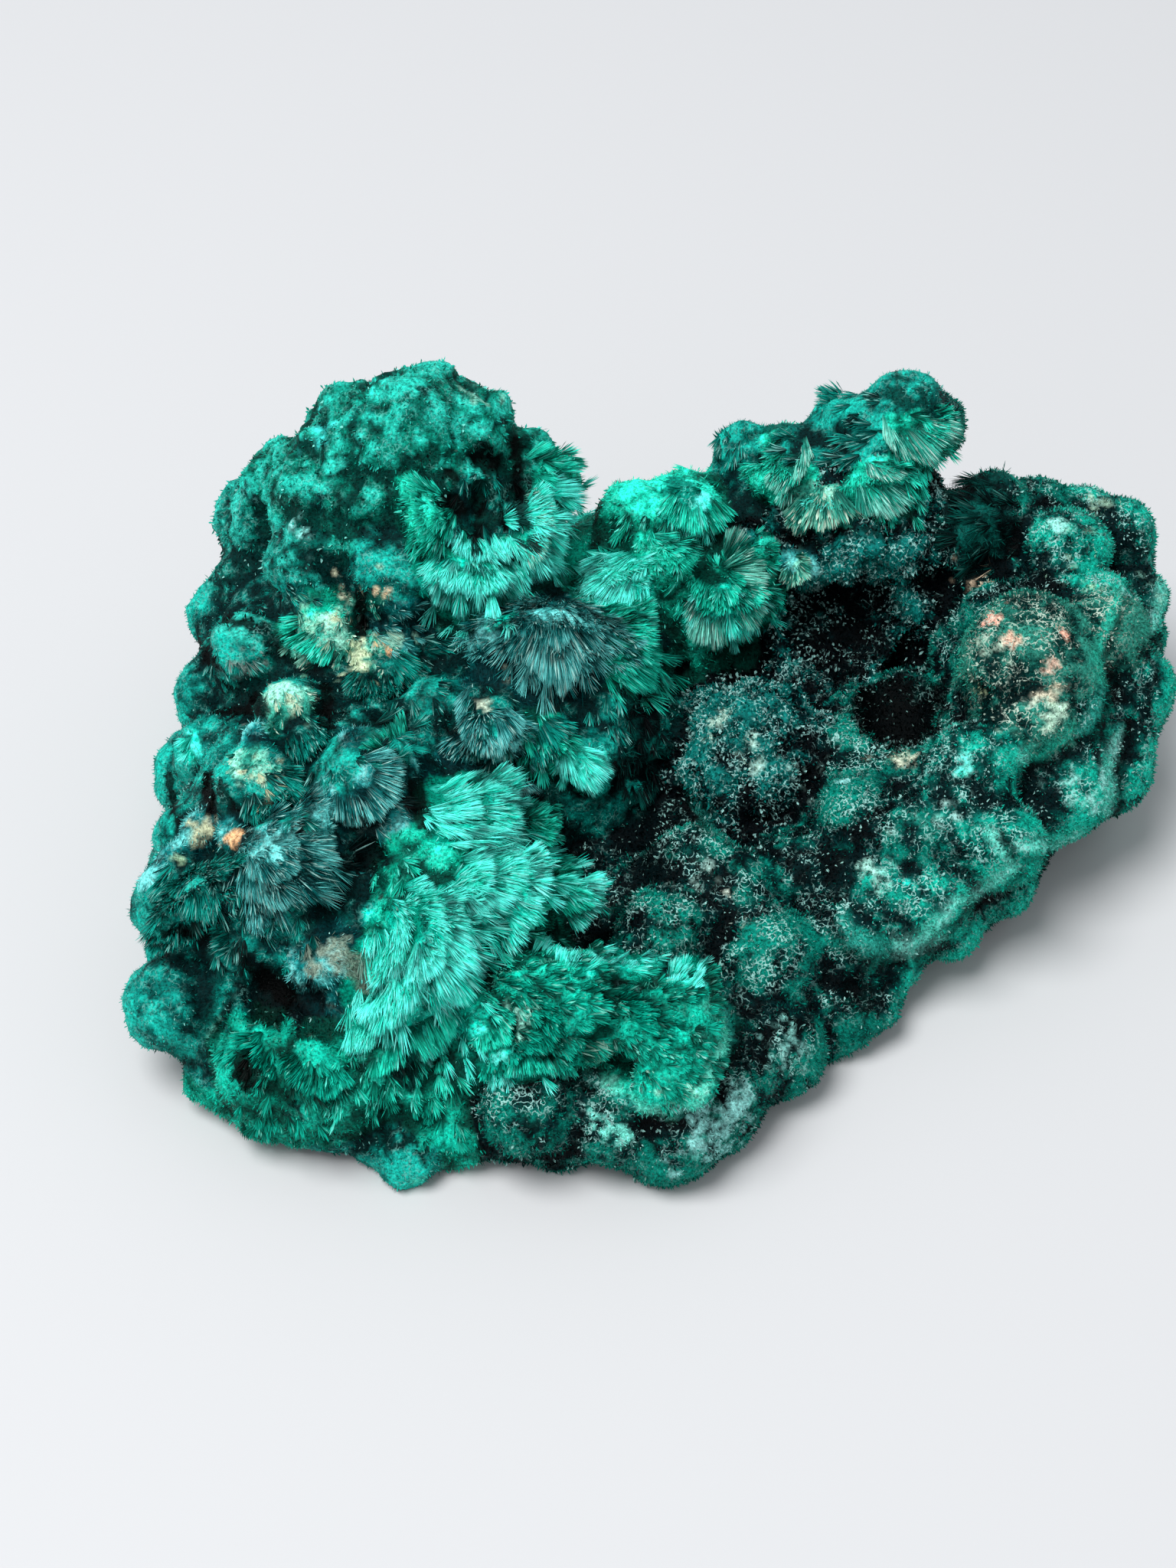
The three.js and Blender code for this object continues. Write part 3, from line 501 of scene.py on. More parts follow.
# Sheets of fibres that end in a hem: the hem's path, the place that the fibres run away from, the
# look and the fibres' length.
HEMS = [
    # Bright crest
    (((-7.6, 0.6), (-5.6, 0.2), (-4.4, -0.9), (-4.2, -2.4), (-4.6, -3.8), (-6.4, -4), (-8.2, -4.1)),
     (-11.5, -1.2), "bright", 3.2),
    (((-7.4, -0.6), (-6.4, -1.6), (-6.6, -2.8), (-8, -3.2)), (-11.5, -1.2), "bright", 2.6),
    (((-3.6, -1), (-2.4, -1.4), (-1.9, -2.6), (-2.1, -3.9)), (-5, -2.8), "green", 1.5),
    (((-3.9, -4.2), (-3.4, -5.6), (-3.8, -7), (-5, -8.4), (-7, -9)), (-9.5, -4.6), "bright", 3),
    (((-6.2, -4.6), (-5.6, -5.8), (-6.2, -7.2), (-7.6, -7.8)), (-10.4, -5), "bright", 2.4),
    (((-2, -4.4), (-0.9, -5.2), (-0.2, -6.2), (0.4, -7.2), (1.5, -7.9), (0, -8.2), (-1.6, -8.8),
      (-3.2, -9.4)), (-6.5, -5.2), "green", 2.2),
    (((-8.4, -7.6), (-7.4, -9.2), (-7, -11), (-6.6, -12.8), (-7.4, -14.4), (-9.4, -15.2)),
     (-12.4, -7.6), "bright", 3.2),
    (((-9.6, -6.4), (-9, -8), (-8.8, -10.2), (-9.2, -12.2), (-10.6, -13.4)),
     (-13.4, -7), "bright", 2.8),
    (((-11.2, -8.2), (-10.8, -10), (-11.6, -11.8), (-13, -12.2)), (-13.8, -7), "bright", 2.4),
    (((-10.6, -13.8), (-11.4, -15.2), (-12.8, -16.2), (-14.2, -16.4)), (-13.4, -8.5), "bright", 3),
    (((-13, -12.6), (-14.2, -13.6), (-15.2, -13.2)), (-14.2, -7.8), "bright", 2.8),
    (((-8.2, -15.2), (-8.8, -17), (-10.2, -18), (-12, -18.6), (-13.6, -19.4)),
     (-12.4, -11), "green", 2.4),
    (((-13, -16.8), (-14.6, -18), (-16.2, -18)), (-14.6, -12), "bright", 2.2),
    # Tongue
    (((-3, -9.4), (-1.6, -10.2), (-0.2, -11), (1.2, -11.5), (2.6, -11.3), (4, -11.2),
      (5, -12.2)), (-6, -16), "bright", 1.5),
    (((5.6, -11.3), (6.7, -11), (7.7, -11.8), (8, -13.2)), (5.2, -14), "bright", 2),
    (((-0.8, -19.1), (-2.4, -19), (-4, -18.9), (-5.4, -19.2)), (-4, -13), "green", 1.4),
    (((-4.6, -12.4), (-2.6, -13.8), (-1.2, -15.6), (-1.6, -17.2), (-3.6, -17.8)),
     (-9, -13), "tongue", 2),
    (((-6, -14.2), (-4.4, -15.6), (-4.8, -17.2), (-6.6, -17.6)), (-9, -12.5), "green", 1.8),
    (((0.6, -13), (2.6, -13.4), (4.4, -14.6), (4.8, -16.2)), (-3, -14.5), "tongue", 1.8),
    # Left-hand peak
    (((-11, 13.4), (-10.2, 11.6), (-8.6, 10.4), (-6.8, 10.2), (-5.2, 11), (-3.8, 12.4)),
     (-7, 19), "bright", 2.8),
    (((-9.8, 15.6), (-8.6, 14.4), (-7.2, 14), (-5.6, 14.2), (-4.2, 15)),
     (-7, 19.5), "bright", 2),
    (((-10.4, 13.2), (-9.2, 12.4), (-7.4, 12), (-5.6, 12.4), (-4.4, 13.6)),
     (-7, 19.5), "bright", 2),
    (((-2.8, 12.6), (-1.4, 13.2), (-0.4, 14.6), (0.2, 16.4), (0, 18.4), (-0.4, 20)),
     (-6.5, 19), "bright", 3.2),
    (((-3.4, 14.2), (-2.4, 15.4), (-2, 17.2), (-2.4, 19)), (-6.5, 19), "pale", 2.2),
    (((0.1, 20.2), (-1.2, 21.4), (-2.4, 22.4)), (-6, 20), "green", 2),
    # Ridge
    (((-0.8, 13.6), (-0.2, 12.2), (1.2, 11.2), (2.6, 11), (3.6, 11.4)), (4.2, 17), "bright", 3),
    (((0.8, 13.8), (1.6, 13), (3.2, 13)), (4.6, 17.4), "bright", 2.4),
    (((-6, 9.4), (-5, 8), (-3.4, 6.8), (-2, 5.4), (-0.8, 6.6), (0.4, 7.6), (1.2, 8.6)),
     (-2.4, 12.8), "grey", 4.4),
    (((-4.4, 9.8), (-3.2, 8.8), (-2.2, 8.2), (-1.2, 8.8), (-0.2, 9.8)), (-2.4, 12.8), "grey", 3.4),
    (((2.4, 6), (4.2, 5.6), (5.6, 7.2), (5.8, 9), (4.6, 10.4), (2.8, 11.4)),
     (-1.5, 11.5), "green", 3.2),
    (((5.9, 11), (6.4, 9.4), (7.6, 9), (9, 8.9), (10.4, 9.6), (11.6, 11), (12, 12.8),
      (11.8, 14.6), (10.8, 16.2), (9.4, 16.8)), (8.4, 14), "pale", 2.6),
    (((6.4, 12.4), (7.2, 11.2), (8.6, 10.8), (9.8, 11.4), (10.4, 13)), (8.4, 15), "green", 2),
    (((4.6, 17.4), (5.6, 16.4), (7, 16), (8.6, 16.4), (9.6, 17)), (7, 21), "green", 2.4),
    (((-9.2, 4.6), (-8, 2.4), (-6.6, 1.4), (-5.4, 1.6), (-4.4, 3)), (-7, 7.4), "grey", 2.8),
    (((-4.2, 1.6), (-3, 0.6), (-2, 1.2), (-0.6, 3.4)), (-4, 5.8), "teal", 3),
    (((-2.2, 0.8), (-1.2, 0), (0.4, -0.6), (1.4, 0), (1.6, 0.8), (0.6, 2)),
     (-1.6, 2.8), "bright", 2.2),
    (((-5.6, -0.2), (-4.2, -0.9), (-3, -0.6)), (-6, 3), "grey", 1.6),
    # Left flank
    (((-16.2, -3.8), (-15.8, -5.4), (-16.6, -7.2), (-18.4, -8.2), (-20.2, -8.6), (-21.8, -8)),
     (-23, -3.4), "grey", 4),
    (((-18.4, -4.4), (-18.6, -5.8), (-20, -6.8), (-21.4, -6.6)), (-23, -3.4), "grey", 3),
    (((-28.6, -7.6), (-26.8, -8.8), (-25, -9.6), (-23.8, -8.8)), (-26, -3.6), "teal", 2.8),
    (((-25, -9.2), (-24.6, -10.8), (-24, -11.6)), (-21, -9), "teal", 1.5),
    (((-18.2, 0.8), (-18.2, -0.8), (-18.8, -2.6), (-20.6, -3.2), (-22.4, -2.6)),
     (-22, 1.6), "teal", 2.2),
    (((-12.6, 2.2), (-11.8, 0.6), (-12.2, -1.4), (-13.4, -2.8), (-15.2, -3.2), (-17, -2.6)),
     (-16, 1.4), "grey", 2.4),
    (((-16.6, 3.4), (-16.8, 2.2), (-18.4, 0.8), (-19.6, 1.6)), (-20, 6), "teal", 2.4),
    (((-10.6, 7.4), (-11.6, 5.2), (-13.2, 4.4), (-15, 4.4), (-16, 5.4)), (-14, 9.6), "teal", 2.6),
    (((-20.2, 10.4), (-19.8, 9), (-18.2, 8), (-16.8, 7.6)), (-15, 12.4), "green", 1.6),
    (((-15, 2.4), (-13.6, 3.4), (-12.2, 4.6)), (-10.8, 1.6), "green", 1.6),
    # Front left foot
    (((-23.4, -16.6), (-22.2, -18.4), (-20.6, -19.4)), (-20.4, -15.8), "tongue", 1.6),
    (((-20.2, -18.6), (-19, -20.2), (-17.2, -20.8), (-15.6, -20.2)), (-17.6, -15.6), "tongue", 2),
    # Right-hand peak
    (((19.6, 21.8), (20.4, 21), (22.2, 20.6), (23.2, 21.2), (24, 22.2), (24.6, 23.4)),
     (19.2, 25), "pale", 3),
    (((11.6, 19.2), (12.4, 17.8), (13.6, 19.4), (14.6, 20.2)), (14, 23.5), "pale", 2.6),
    (((12.6, 17.2), (13.8, 16.4), (15.2, 16.4), (16.6, 16.8), (17.4, 17.2)), (15.4, 20.6), "mint", 2.4),
    (((17.8, 17.2), (19, 17), (20.4, 17.4), (21.6, 18.6)), (17.4, 21.6), "pale", 3),
    (((18.4, 19.8), (19.6, 19.4), (20.8, 19.8)), (18, 22), "pale", 1.8),
    (((12.6, 13.2), (13.6, 12.8), (14.6, 13.6), (14.8, 14.6)), (13.2, 15), "mint", 1.2),
]

# Rims of domes, light on the dome and in shade below: the rim's path and the dome's middle.
RIMS = [
    (((16.2, -8.8), (17.2, -10.2), (19.2, -10.9), (21.4, -10.6), (23.2, -9.2), (24.6, -7.4)),
     (19.6, -6.4)),
    (((16.6, -10.4), (19, -11.5), (21.6, -11.2), (23.6, -10)), (19.6, -6.4)),
    (((24.6, -8), (26.4, -6.8), (28, -5.6), (27.2, -4.4), (26.4, -2.8)), (23.5, -3)),
    (((28, 1.4), (29.4, 1.6), (30.8, 2.4), (31.6, 3.4), (32.4, 3.2), (33.2, 4.4), (33.8, 6.2),
     (33.4, 8.4), (33.8, 9.6), (34.4, 11.2), (35, 13)),
     (28.5, 8)),
    (((34.9, 4), (34.6, 2.5), (34.2, 1), (34.4, -1), (33.9, -2.4)), (31, 2)),
    (((37.9, 13.6), (37.8, 12), (37.2, 10.6), (36.6, 9.6)), (35.6, 13)),
    (((27.6, -4.2), (29.4, -4.4), (31.2, -4.2), (32.8, -3.4)), (30, -1)),
    (((6.2, 0.4), (6.6, -0.8), (7.4, -2.2), (8.2, -3)), (9, 1.5)),
    (((8, -14), (9.2, -15.2), (9.4, -16.8), (8.5, -18.2), (8, -19.6), (7.4, -21),
     (6, -21.8), (4, -21.6), (2.2, -20.8), (0.6, -19.8), (-0.8, -19.1)),
     (4, -16.5)),
    (((-23.4, -12.4), (-23.6, -14), (-24.6, -16), (-26, -17.6), (-27.4, -18)),
     (-27.6, -13.6)),
]

# Patches of crust and of shade: the place, the radius, the colour in 0 to 255 and how strong.
PATCHES = [
    # Light and shade on the left-hand peak
    ((-17.8, 22.6), 1.4, (60, 214, 204), 0.56),
    ((-12.4, 21.2), 1.4, (110, 226, 212), 0.48),
    ((-14.4, 26.2), 1.1, (40, 204, 184), 0.56),
    ((-11.8, 27.2), 1.1, (60, 216, 192), 0.56),
    ((-7.4, 25), 1.4, (110, 172, 154), 0.48),
    ((-18.6, 16.6), 1.3, (120, 196, 188), 0.4),
    ((-8.8, 18.3), 1, (0, 22, 20), 0.95),
    ((-6.8, 21.2), 1.1, (0, 16, 14), 0.95),
    ((-4.7, 21.4), 0.9, (0, 12, 12), 0.95),
    ((-4.5, 19.4), 0.9, (0, 12, 12), 0.9),
    ((-6.6, 19.2), 2.2, (0, 40, 34), 0.7),
    ((-3.6, 16.6), 0.7, (0, 16, 14), 0.85),
    ((-10.4, 21.3), 0.8, (0, 60, 50), 0.8),
    ((-15, 24.2), 1, (0, 70, 62), 0.8),
    ((-9.6, 26), 1.3, (0, 48, 42), 0.9),
    ((-11.6, 24.6), 1.2, (0, 80, 68), 0.75),
    ((-13, 26), 0.8, (0, 74, 62), 0.7),
    ((-16.8, 21), 1.3, (40, 190, 170), 0.55),
    ((-14.6, 22.4), 1.2, (50, 200, 182), 0.55),
    ((-5.8, 23.4), 0.8, (0, 40, 36), 0.8),
    ((-15.2, 20.6), 0.8, (0, 72, 62), 0.7),
    ((-21.6, 18.6), 1.2, (0, 40, 38), 0.7),
    ((-18.2, 18.4), 1, (0, 40, 38), 0.7),
    # Tan tips of the left-hand knobs, and shade between them
    ((-15.4, 11.9), 0.9, (186, 188, 160), 0.64),
    ((-13.6, 12.4), 0.8, (206, 180, 146), 0.64),
    ((-14.6, 10.4), 1.1, (8, 20, 18), 0.9),
    ((-14, 9.4), 1.1, (206, 176, 132), 0.85),
    ((-15.2, 8.6), 1.2, (196, 214, 176), 0.8),
    ((-12.6, 9.6), 1.2, (132, 186, 166), 0.65),
    ((-13.2, 8.4), 0.7, (204, 160, 120), 0.72),
    ((-19.6, 5.2), 1.2, (176, 196, 166), 0.56),
    ((-22.2, 0.4), 1.3, (190, 196, 160), 0.64),
    ((-20.9, -0.4), 0.8, (190, 196, 160), 0.56),
    ((-23, -3.6), 0.8, (216, 166, 120), 0.76),
    ((-25.4, -3.2), 1.1, (164, 170, 138), 0.64),
    ((-26.4, -4.8), 1, (150, 186, 150), 0.56),
    ((-24, -2.2), 0.8, (140, 150, 130), 0.64),
    ((-21.6, -4.2), 0.9, (140, 140, 126), 0.56),
    ((-6.6, 5.6), 1.2, (160, 176, 156), 0.48),
    ((-16.6, 0.4), 0.7, (180, 170, 130), 0.48),
    ((-16.9, -11.6), 2, (112, 130, 116), 0.68),
    ((-22.6, 7.6), 1.4, (104, 124, 118), 0.55),
    ((-24.4, 7.4), 0.8, (6, 26, 26), 0.9),
    ((-21.6, 10.4), 0.9, (0, 30, 28), 0.85),
    ((-18.4, 10.2), 1.3, (110, 186, 158), 0.55),
    ((-16.4, 10.8), 0.9, (176, 190, 156), 0.6),
    # Light and shade on the front left foot
    ((-12.8, -23.6), 1.5, (0, 30, 28), 0.95),
    ((-11, -24.2), 1.2, (0, 40, 36), 0.9),
    ((-11, -26.2), 0.9, (60, 190, 166), 0.5),
    ((-19.2, -21.6), 0.8, (0, 34, 30), 0.85),
    ((-16.4, -23.2), 0.7, (0, 40, 34), 0.8),
    ((-11.6, -19.2), 1, (0, 40, 36), 0.8),
    ((-23.4, -20.6), 0.7, (0, 40, 34), 0.7),
    # Streak on the left flank
    ((-25.6, 2.2), 1.2, (70, 220, 208), 0.4),
    # Pink and pale crust of the right-hand domes
    ((26.4, 10.8), 1, (236, 176, 156), 0.76),
    ((27.6, 9.8), 0.8, (226, 184, 160), 0.72),
    ((25.4, 12.9), 0.8, (196, 176, 150), 0.64),
    ((31.4, 9.7), 0.6, (226, 170, 146), 0.72),
    ((30.4, 7.6), 0.8, (206, 176, 156), 0.68),
    ((29.8, 6), 1, (196, 190, 166), 0.64),
    ((28.4, 5), 1.1, (180, 196, 176), 0.64),
    ((30.2, 4.4), 1.1, (170, 206, 184), 0.64),
    ((25, 5.6), 0.7, (176, 190, 150), 0.64),
    ((26, 9), 1.2, (150, 176, 158), 0.48),
    ((24.8, 8), 1.2, (140, 170, 152), 0.4),
    ((30.6, 16.8), 0.9, (140, 220, 206), 0.64),
    ((31.8, 14.8), 1.1, (150, 196, 172), 0.56),
    ((32.8, 13.4), 1, (150, 190, 160), 0.56),
    ((33.8, 18.4), 1.4, (140, 176, 154), 0.48),
    ((37.4, 12.8), 0.9, (130, 190, 172), 0.48),
    # Mint patches and pale flecks
    ((0.6, -22.3), 1.4, (120, 226, 208), 0.64),
    ((2.4, -23), 1, (120, 226, 208), 0.56),
    ((24.9, 1.2), 1.2, (90, 206, 190), 0.56),
    ((25, 0.2), 0.9, (40, 200, 176), 0.48),
    ((20.4, 1.6), 1, (190, 200, 176), 0.56),
    ((22.8, -2.6), 1.3, (140, 186, 178), 0.4),
    ((9.4, -7), 1, (190, 206, 190), 0.48),
    ((7.6, -5.4), 1.2, (160, 200, 190), 0.4),
    ((18.6, -6.4), 1.5, (150, 206, 192), 0.4),
    ((20.4, -6.6), 0.7, (30, 220, 200), 0.56),
    ((33.2, -0.8), 1.9, (130, 198, 188), 0.5),
    ((8.6, 4.2), 1.1, (170, 206, 190), 0.56),
    ((10.4, 1.8), 1.2, (170, 210, 196), 0.48),
    ((13.4, 1), 1.2, (150, 200, 190), 0.4),
    ((16.6, 0.4), 0.7, (150, 220, 216), 0.64),
    ((13.6, 14.2), 0.9, (120, 206, 180), 0.56),
    ((4.4, -19.2), 0.9, (170, 222, 200), 0.64),
    ((6.8, -20.2), 1, (130, 214, 192), 0.48),
    ((1, -17.4), 1.1, (150, 206, 186), 0.4),
    ((-4.2, -15.4), 1.1, (150, 226, 206), 0.4),
    # Shade on the right-hand peak and the ridge to it
    ((20.2, 25.4), 1.9, (0, 56, 50), 0.85),
    ((23, 24.6), 1.2, (0, 44, 42), 0.8),
    ((21.8, 25.8), 1.5, (0, 58, 52), 0.9),
    ((6.4, 19.6), 1.5, (0, 112, 96), 0.75),
    ((12, 23.2), 1.2, (0, 76, 66), 0.75),
    # Pale crust at the front
    ((8.6, -22.4), 3, (130, 196, 190), 0.62),
    ((13, -17.6), 2, (110, 170, 162), 0.35),
    # Shade on the front crust, the valley and the left flank
    ((-4.6, -22.4), 1.6, (0, 22, 22), 0.8),
    ((-1.8, -21.6), 1, (0, 24, 24), 0.75),
    ((5.8, -8.4), 1.5, (0, 14, 16), 0.65),
    ((9.8, -4.6), 1.2, (0, 14, 16), 0.65),
    ((-27.2, 0.6, 7), 1.6, (0, 58, 50), 0.85),
    ((-24.4, -0.8), 1.2, (0, 40, 36), 0.9),
    ((-27, -2.4, 7), 1.4, (0, 48, 42), 0.85),
    ((-28, -6.6, 9), 1, (10, 96, 84), 0.8),
    # Shade in the hollows
    ((20.6, 5.6), 3.6, (0, 4, 6), 0.9),
    ((18.4, 8.6), 2.4, (0, 6, 8), 0.7),
    ((23.4, 12.6), 1.8, (0, 5, 7), 0.8),
    ((-20.6, -13.6), 2.2, (0, 14, 16), 0.95),
    ((-18.4, -14.2), 1.6, (0, 10, 12), 0.95),
    ((-14.4, -4.6), 1.8, (0, 16, 16), 0.8),
    ((-11.2, -2), 0.9, (0, 8, 8), 0.9),
    ((-17.2, 5), 1.1, (0, 12, 14), 0.85),
    ((-22.6, -18.8), 1.1, (0, 22, 18), 0.9),
    ((6.2, 7.4), 1.2, (0, 8, 10), 0.9),
    ((3.8, -5.4), 2, (0, 10, 12), 0.7),
    ((3.6, -2), 2.4, (0, 10, 12), 0.6),
    ((17.6, -13.4), 1.4, (0, 16, 16), 0.8),
    ((-27.8, -9.8), 1, (0, 14, 14), 0.9),
]

# Small holes that open between the fibres: the place and the radius.
HOLES = [
    ((-8.8, 18.3), 1),
    ((-6.8, 21.2), 1),
    ((-4.7, 21.4), 0.8),
    ((-4.4, 19.4), 0.8),
    ((-14.7, 10.4), 0.8),
    ((-17.2, 5), 1),
    ((-18.4, -14.2), 1.2),
    ((-14.4, -4.6), 1.2),
    ((-11.2, -2), 0.9),
    ((-22.6, -18.8), 0.9),
    ((6.2, 7.6), 0.9),
    ((17.6, -13.4), 1.1),
    ((-9.6, 26), 0.6),
    ((-27.8, -9.8), 0.8),
]

# Cracks between growths: the two ends and the half width.
CRACKS = [
    ((-4.7, 22.4), (-4.6, 19.2), 0.5),
    ((-4.5, 19.2), (-3.8, 16.6), 0.45),
    ((-3.7, 15.9), (-3.2, 15), 0.45),
    ((-7.2, 18.2), (-7.3, 14.8), 0.45),
    ((-9.4, 18.6), (-8.2, 17.8), 0.45),
    ((-7.2, 21.4), (-6.2, 20.9), 0.7),
    ((-9.2, 20.3), (-8.6, 20), 0.4),
    ((-5.6, 18), (-5.4, 16.6), 0.35),
    ((-10.8, 21.4), (-10, 21.3), 0.5),
    ((-14.9, 12.4), (-14.9, 9.8), 0.45),
    ((-17.2, 6.2), (-16.8, 4), 0.6),
    ((-21.8, 5.6), (-21, 4.8), 0.6),
    ((-11.4, 0.2), (-10.8, -2.6), 0.6),
    ((-27.6, -9.9), (-25.4, -9.7), 0.5),
    ((-27.4, 0.8), (-27, -2.4), 0.35),
    ((-24.9, 0.4), (-24.5, -1.8), 0.5),
    ((-24.2, 4.6), (-21.6, 4.8), 0.4),
    ((-25.4, 9.2), (-24.6, 7.6), 0.35),
    ((-23.8, 10.6), (-21.6, 10.4), 0.35),
    ((-24, 0), (-22.8, -1.9), 0.35),
    ((-22.8, -17.8), (-22.4, -19.8), 0.5),
    ((-22.2, -11.6), (-19, -14.4), 0.7),
]


# Lines of sight

def unit(v):
    """A vector, or each of many, at length 1."""
    return v / np.linalg.norm(v, axis=-1, keepdims=True)


SIN, COS = math.sin(VIEW_ELEVATION), math.cos(VIEW_ELEVATION)
TO_EYE = np.array([0, -COS, SIN])
PICTURE_UP = np.array([0, SIN, COS])
EYE = TO_EYE * VIEW_DISTANCE + np.array([0, 0, MIDDLE_HEIGHT])
# The way that the crown of a dome points: to the eye, up, and a little to the left.
CROWN = unit(TO_EYE + 0.5 * PICTURE_UP + np.array([-0.4, 0, 0]))


def sight(place):
    """The way from the eye to a place of the picture plane."""
    across, up = place[:2]
    return unit(np.array([across, up * SIN, up * COS + MIDDLE_HEIGHT]) - EYE)


def near_side(middle, half, direction):
    """How far from the eye a line of sight meets an ellipsoid."""
    start = (EYE - middle) / half
    along = direction / half
    a, b = along @ along, start @ along
    inside = b * b - a * (start @ start - 1)
    return -(b + math.sqrt(inside)) / a if inside > 0 else math.inf


def depth_of(place, lumps):
    """How far from the eye a place is: at its own height, or on the growths."""
    direction = sight(place)
    if len(place) > 2:
        return (place[2] - EYE[2]) / direction[2]
    return min(near_side(g["middle"], g["half"], direction) for g in lumps)


def point_at(place, depth):
    """The point that is seen at a place, so far from the eye."""
    return EYE + sight(place) * depth


def seen(points):
    """Where points are in the picture plane: across and up."""
    rays = points - EYE
    middle = np.array([0, 0, MIDDLE_HEIGHT])
    far = ((middle - EYE) @ TO_EYE) / (rays @ TO_EYE)
    flat = EYE + rays * far[:, None] - middle
    return np.column_stack([flat[:, 0], flat @ PICTURE_UP])


# Noise

def smooth(low, high, value):
    """0 up to low and 1 from high on, with a smooth run between them."""
    t = np.clip((value - low) / (high - low), 0, 1)
    return t * t * (3 - 2 * t)


def hashed(ix, iy, iz, seed):
    """A number from 0 to 1 for each point of a lattice."""
    spread, stir, low_bits = (0x8DA6B343, 0xD8163841, 0xCB1AB31F), (0x5BD1E995, 0x27D4EB2F), 0xFFFFFF
    h = np.uint32(seed * 7919 + 17)
    for axis, factor in zip((ix, iy, iz), spread):
        h = h ^ (axis.astype(np.uint32) * np.uint32(factor))
    for shift, factor in zip((13, 15), stir):
        h = (h ^ (h >> np.uint32(shift))) * np.uint32(factor)
    h ^= h >> np.uint32(14)
    return (h & np.uint32(low_bits)) / float(low_bits)


def noise(points, size, seed):
    """Smooth noise from -1 to 1, with lumps of a size in millimetres."""
    q = points / size
    cell = np.floor(q).astype(np.int64)
    f = q - cell
    f = f * f * (3 - 2 * f)
    total = 0.0
    for dx in (0, 1):
        wx = f[:, 0] if dx else 1 - f[:, 0]
        for dy in (0, 1):
            wy = f[:, 1] if dy else 1 - f[:, 1]
            for dz in (0, 1):
                wz = f[:, 2] if dz else 1 - f[:, 2]
                value = hashed(cell[:, 0] + dx, cell[:, 1] + dy, cell[:, 2] + dz, seed)
                total = total + wx * wy * wz * value
    return 2 * total - 1


def rough(points, size, seed, octaves=3):
    """Noise with finer noise over it, half as strong each time."""
    return sum(noise(points, size / 2**k, seed + k) * 0.5**k for k in range(octaves))


def blended(points, kinds, base=0.0):
    """A base with several noises on it, each with its strength."""
    return sum((strength * noise(points, size, seed) for strength, size, seed in kinds), base)


def flat_noise(places, size, seed):
    """Noise over the picture plane."""
    return noise(np.column_stack([places, np.zeros(len(places))]), size, seed)


# Growths

def lump(middle, half, look, kind):
    """A growth: an ellipsoid with a look."""
    return dict(middle=np.array(middle, float), half=np.array(half, float), look=look, kind=kind)


def placed_lumps():
    """The masses, and the balls on them, each on what was there before it."""
    lumps = [lump(middle, half, look, "mass") for middle, half, look in MASSES]
    for place, reach, look in BALLS + SMALL_BALLS:
        sink = 0 if len(place) > 2 else BALL_SINK * reach
        middle = point_at(place, depth_of(place, lumps) + sink)
        lumps.append(lump(middle, [reach] * 3, look, "ball"))
    return lumps


def spray(at, toward, spread, look, lumps):
    """The nucleus, axes and reach of a fan of needles."""
    depth = depth_of(at, lumps)
    if len(at) > 2:
        nucleus, fringe = point_at(at, depth), point_at(toward, depth_of(toward, lumps))
    else:
        length = math.dist(at, toward)
        far = min(depth_of(toward, lumps), depth + SPRAY_DROOP * length)
        nucleus = point_at(at, depth + SPRAY_SINK)
        fringe = point_at(toward, far - SPRAY_LIFT * length)
    reach = np.linalg.norm(fringe - nucleus)
    axis = (fringe - nucleus) / reach
    side = unit(np.cross(axis, sight(at)))
    return dict(
        nucleus=nucleus, axis=axis, side=side, flat=np.cross(side, axis), reach=reach,
        spread=math.radians(spread), look=look,
    )


def crack_holes(start, end, radius):
    """A row of holes along a crack."""
    steps = max(2, int(math.dist(start, end) / radius) + 1)
    places = np.linspace(start, end, steps)
    return [(tuple(place), radius) for place in places]


def on_growths(place):
    """The point of the growths that is seen at a place."""
    return point_at(place, depth_of(place, LUMPS))


LUMPS = placed_lumps()
FANS = [spray(*row, LUMPS) for row in SPRAYS]
LUMPS += [lump(middle, [reach] * 3, look, "ball") for middle, reach, look in BACK_BALLS]
SMALL_HOLES = HOLES + [hole for crack in CRACKS for hole in crack_holes(*crack)]
HOLLOWS = [(on_growths(at), np.array(half, float)) for at, half in PITS]
HOLLOWS += [(on_growths(at), np.full(3, radius)) for at, radius in SMALL_HOLES]
SPOTS = [
    (on_growths(at), radius, srgb(*colour), strength) for at, radius, colour, strength in PATCHES
]


def outside(points, middle, half):
    """How far points lie outside an ellipsoid, and below zero inside it."""
    return (np.linalg.norm((points - middle) / half, axis=1) - 1) * half.min()


def knobs():
    """Small domes that break up the surface of the masses."""
    made, lowest = [], 0.5
    for mass in [g for g in LUMPS if g["kind"] == "mass"]:
        area = 4 * math.pi * np.mean(mass["half"] ** 2)
        for ray in unit(RNG.normal(size=(int(area * KNOBS), 3))):
            reach = RNG.uniform(*KNOB_REACH)
            normal = unit(ray / mass["half"])
            top = mass["middle"] + ray * mass["half"]
            middle = top - normal * reach * RNG.uniform(*KNOB_SINK)
            near = any(
                math.dist(middle, m["middle"]) < KNOB_SPACING * (reach + m["half"][0]) for m in made
            )
            buried = any(
                outside(top[None], g["middle"], g["half"])[0] < -BURIED for g in LUMPS if g is not mass
            )
            if not near and not buried and top[2] > lowest:
                made.append(lump(middle, [reach] * 3, mass["look"], "knob"))
    return made


BEFORE_KNOBS = list(LUMPS)
LUMPS += knobs()


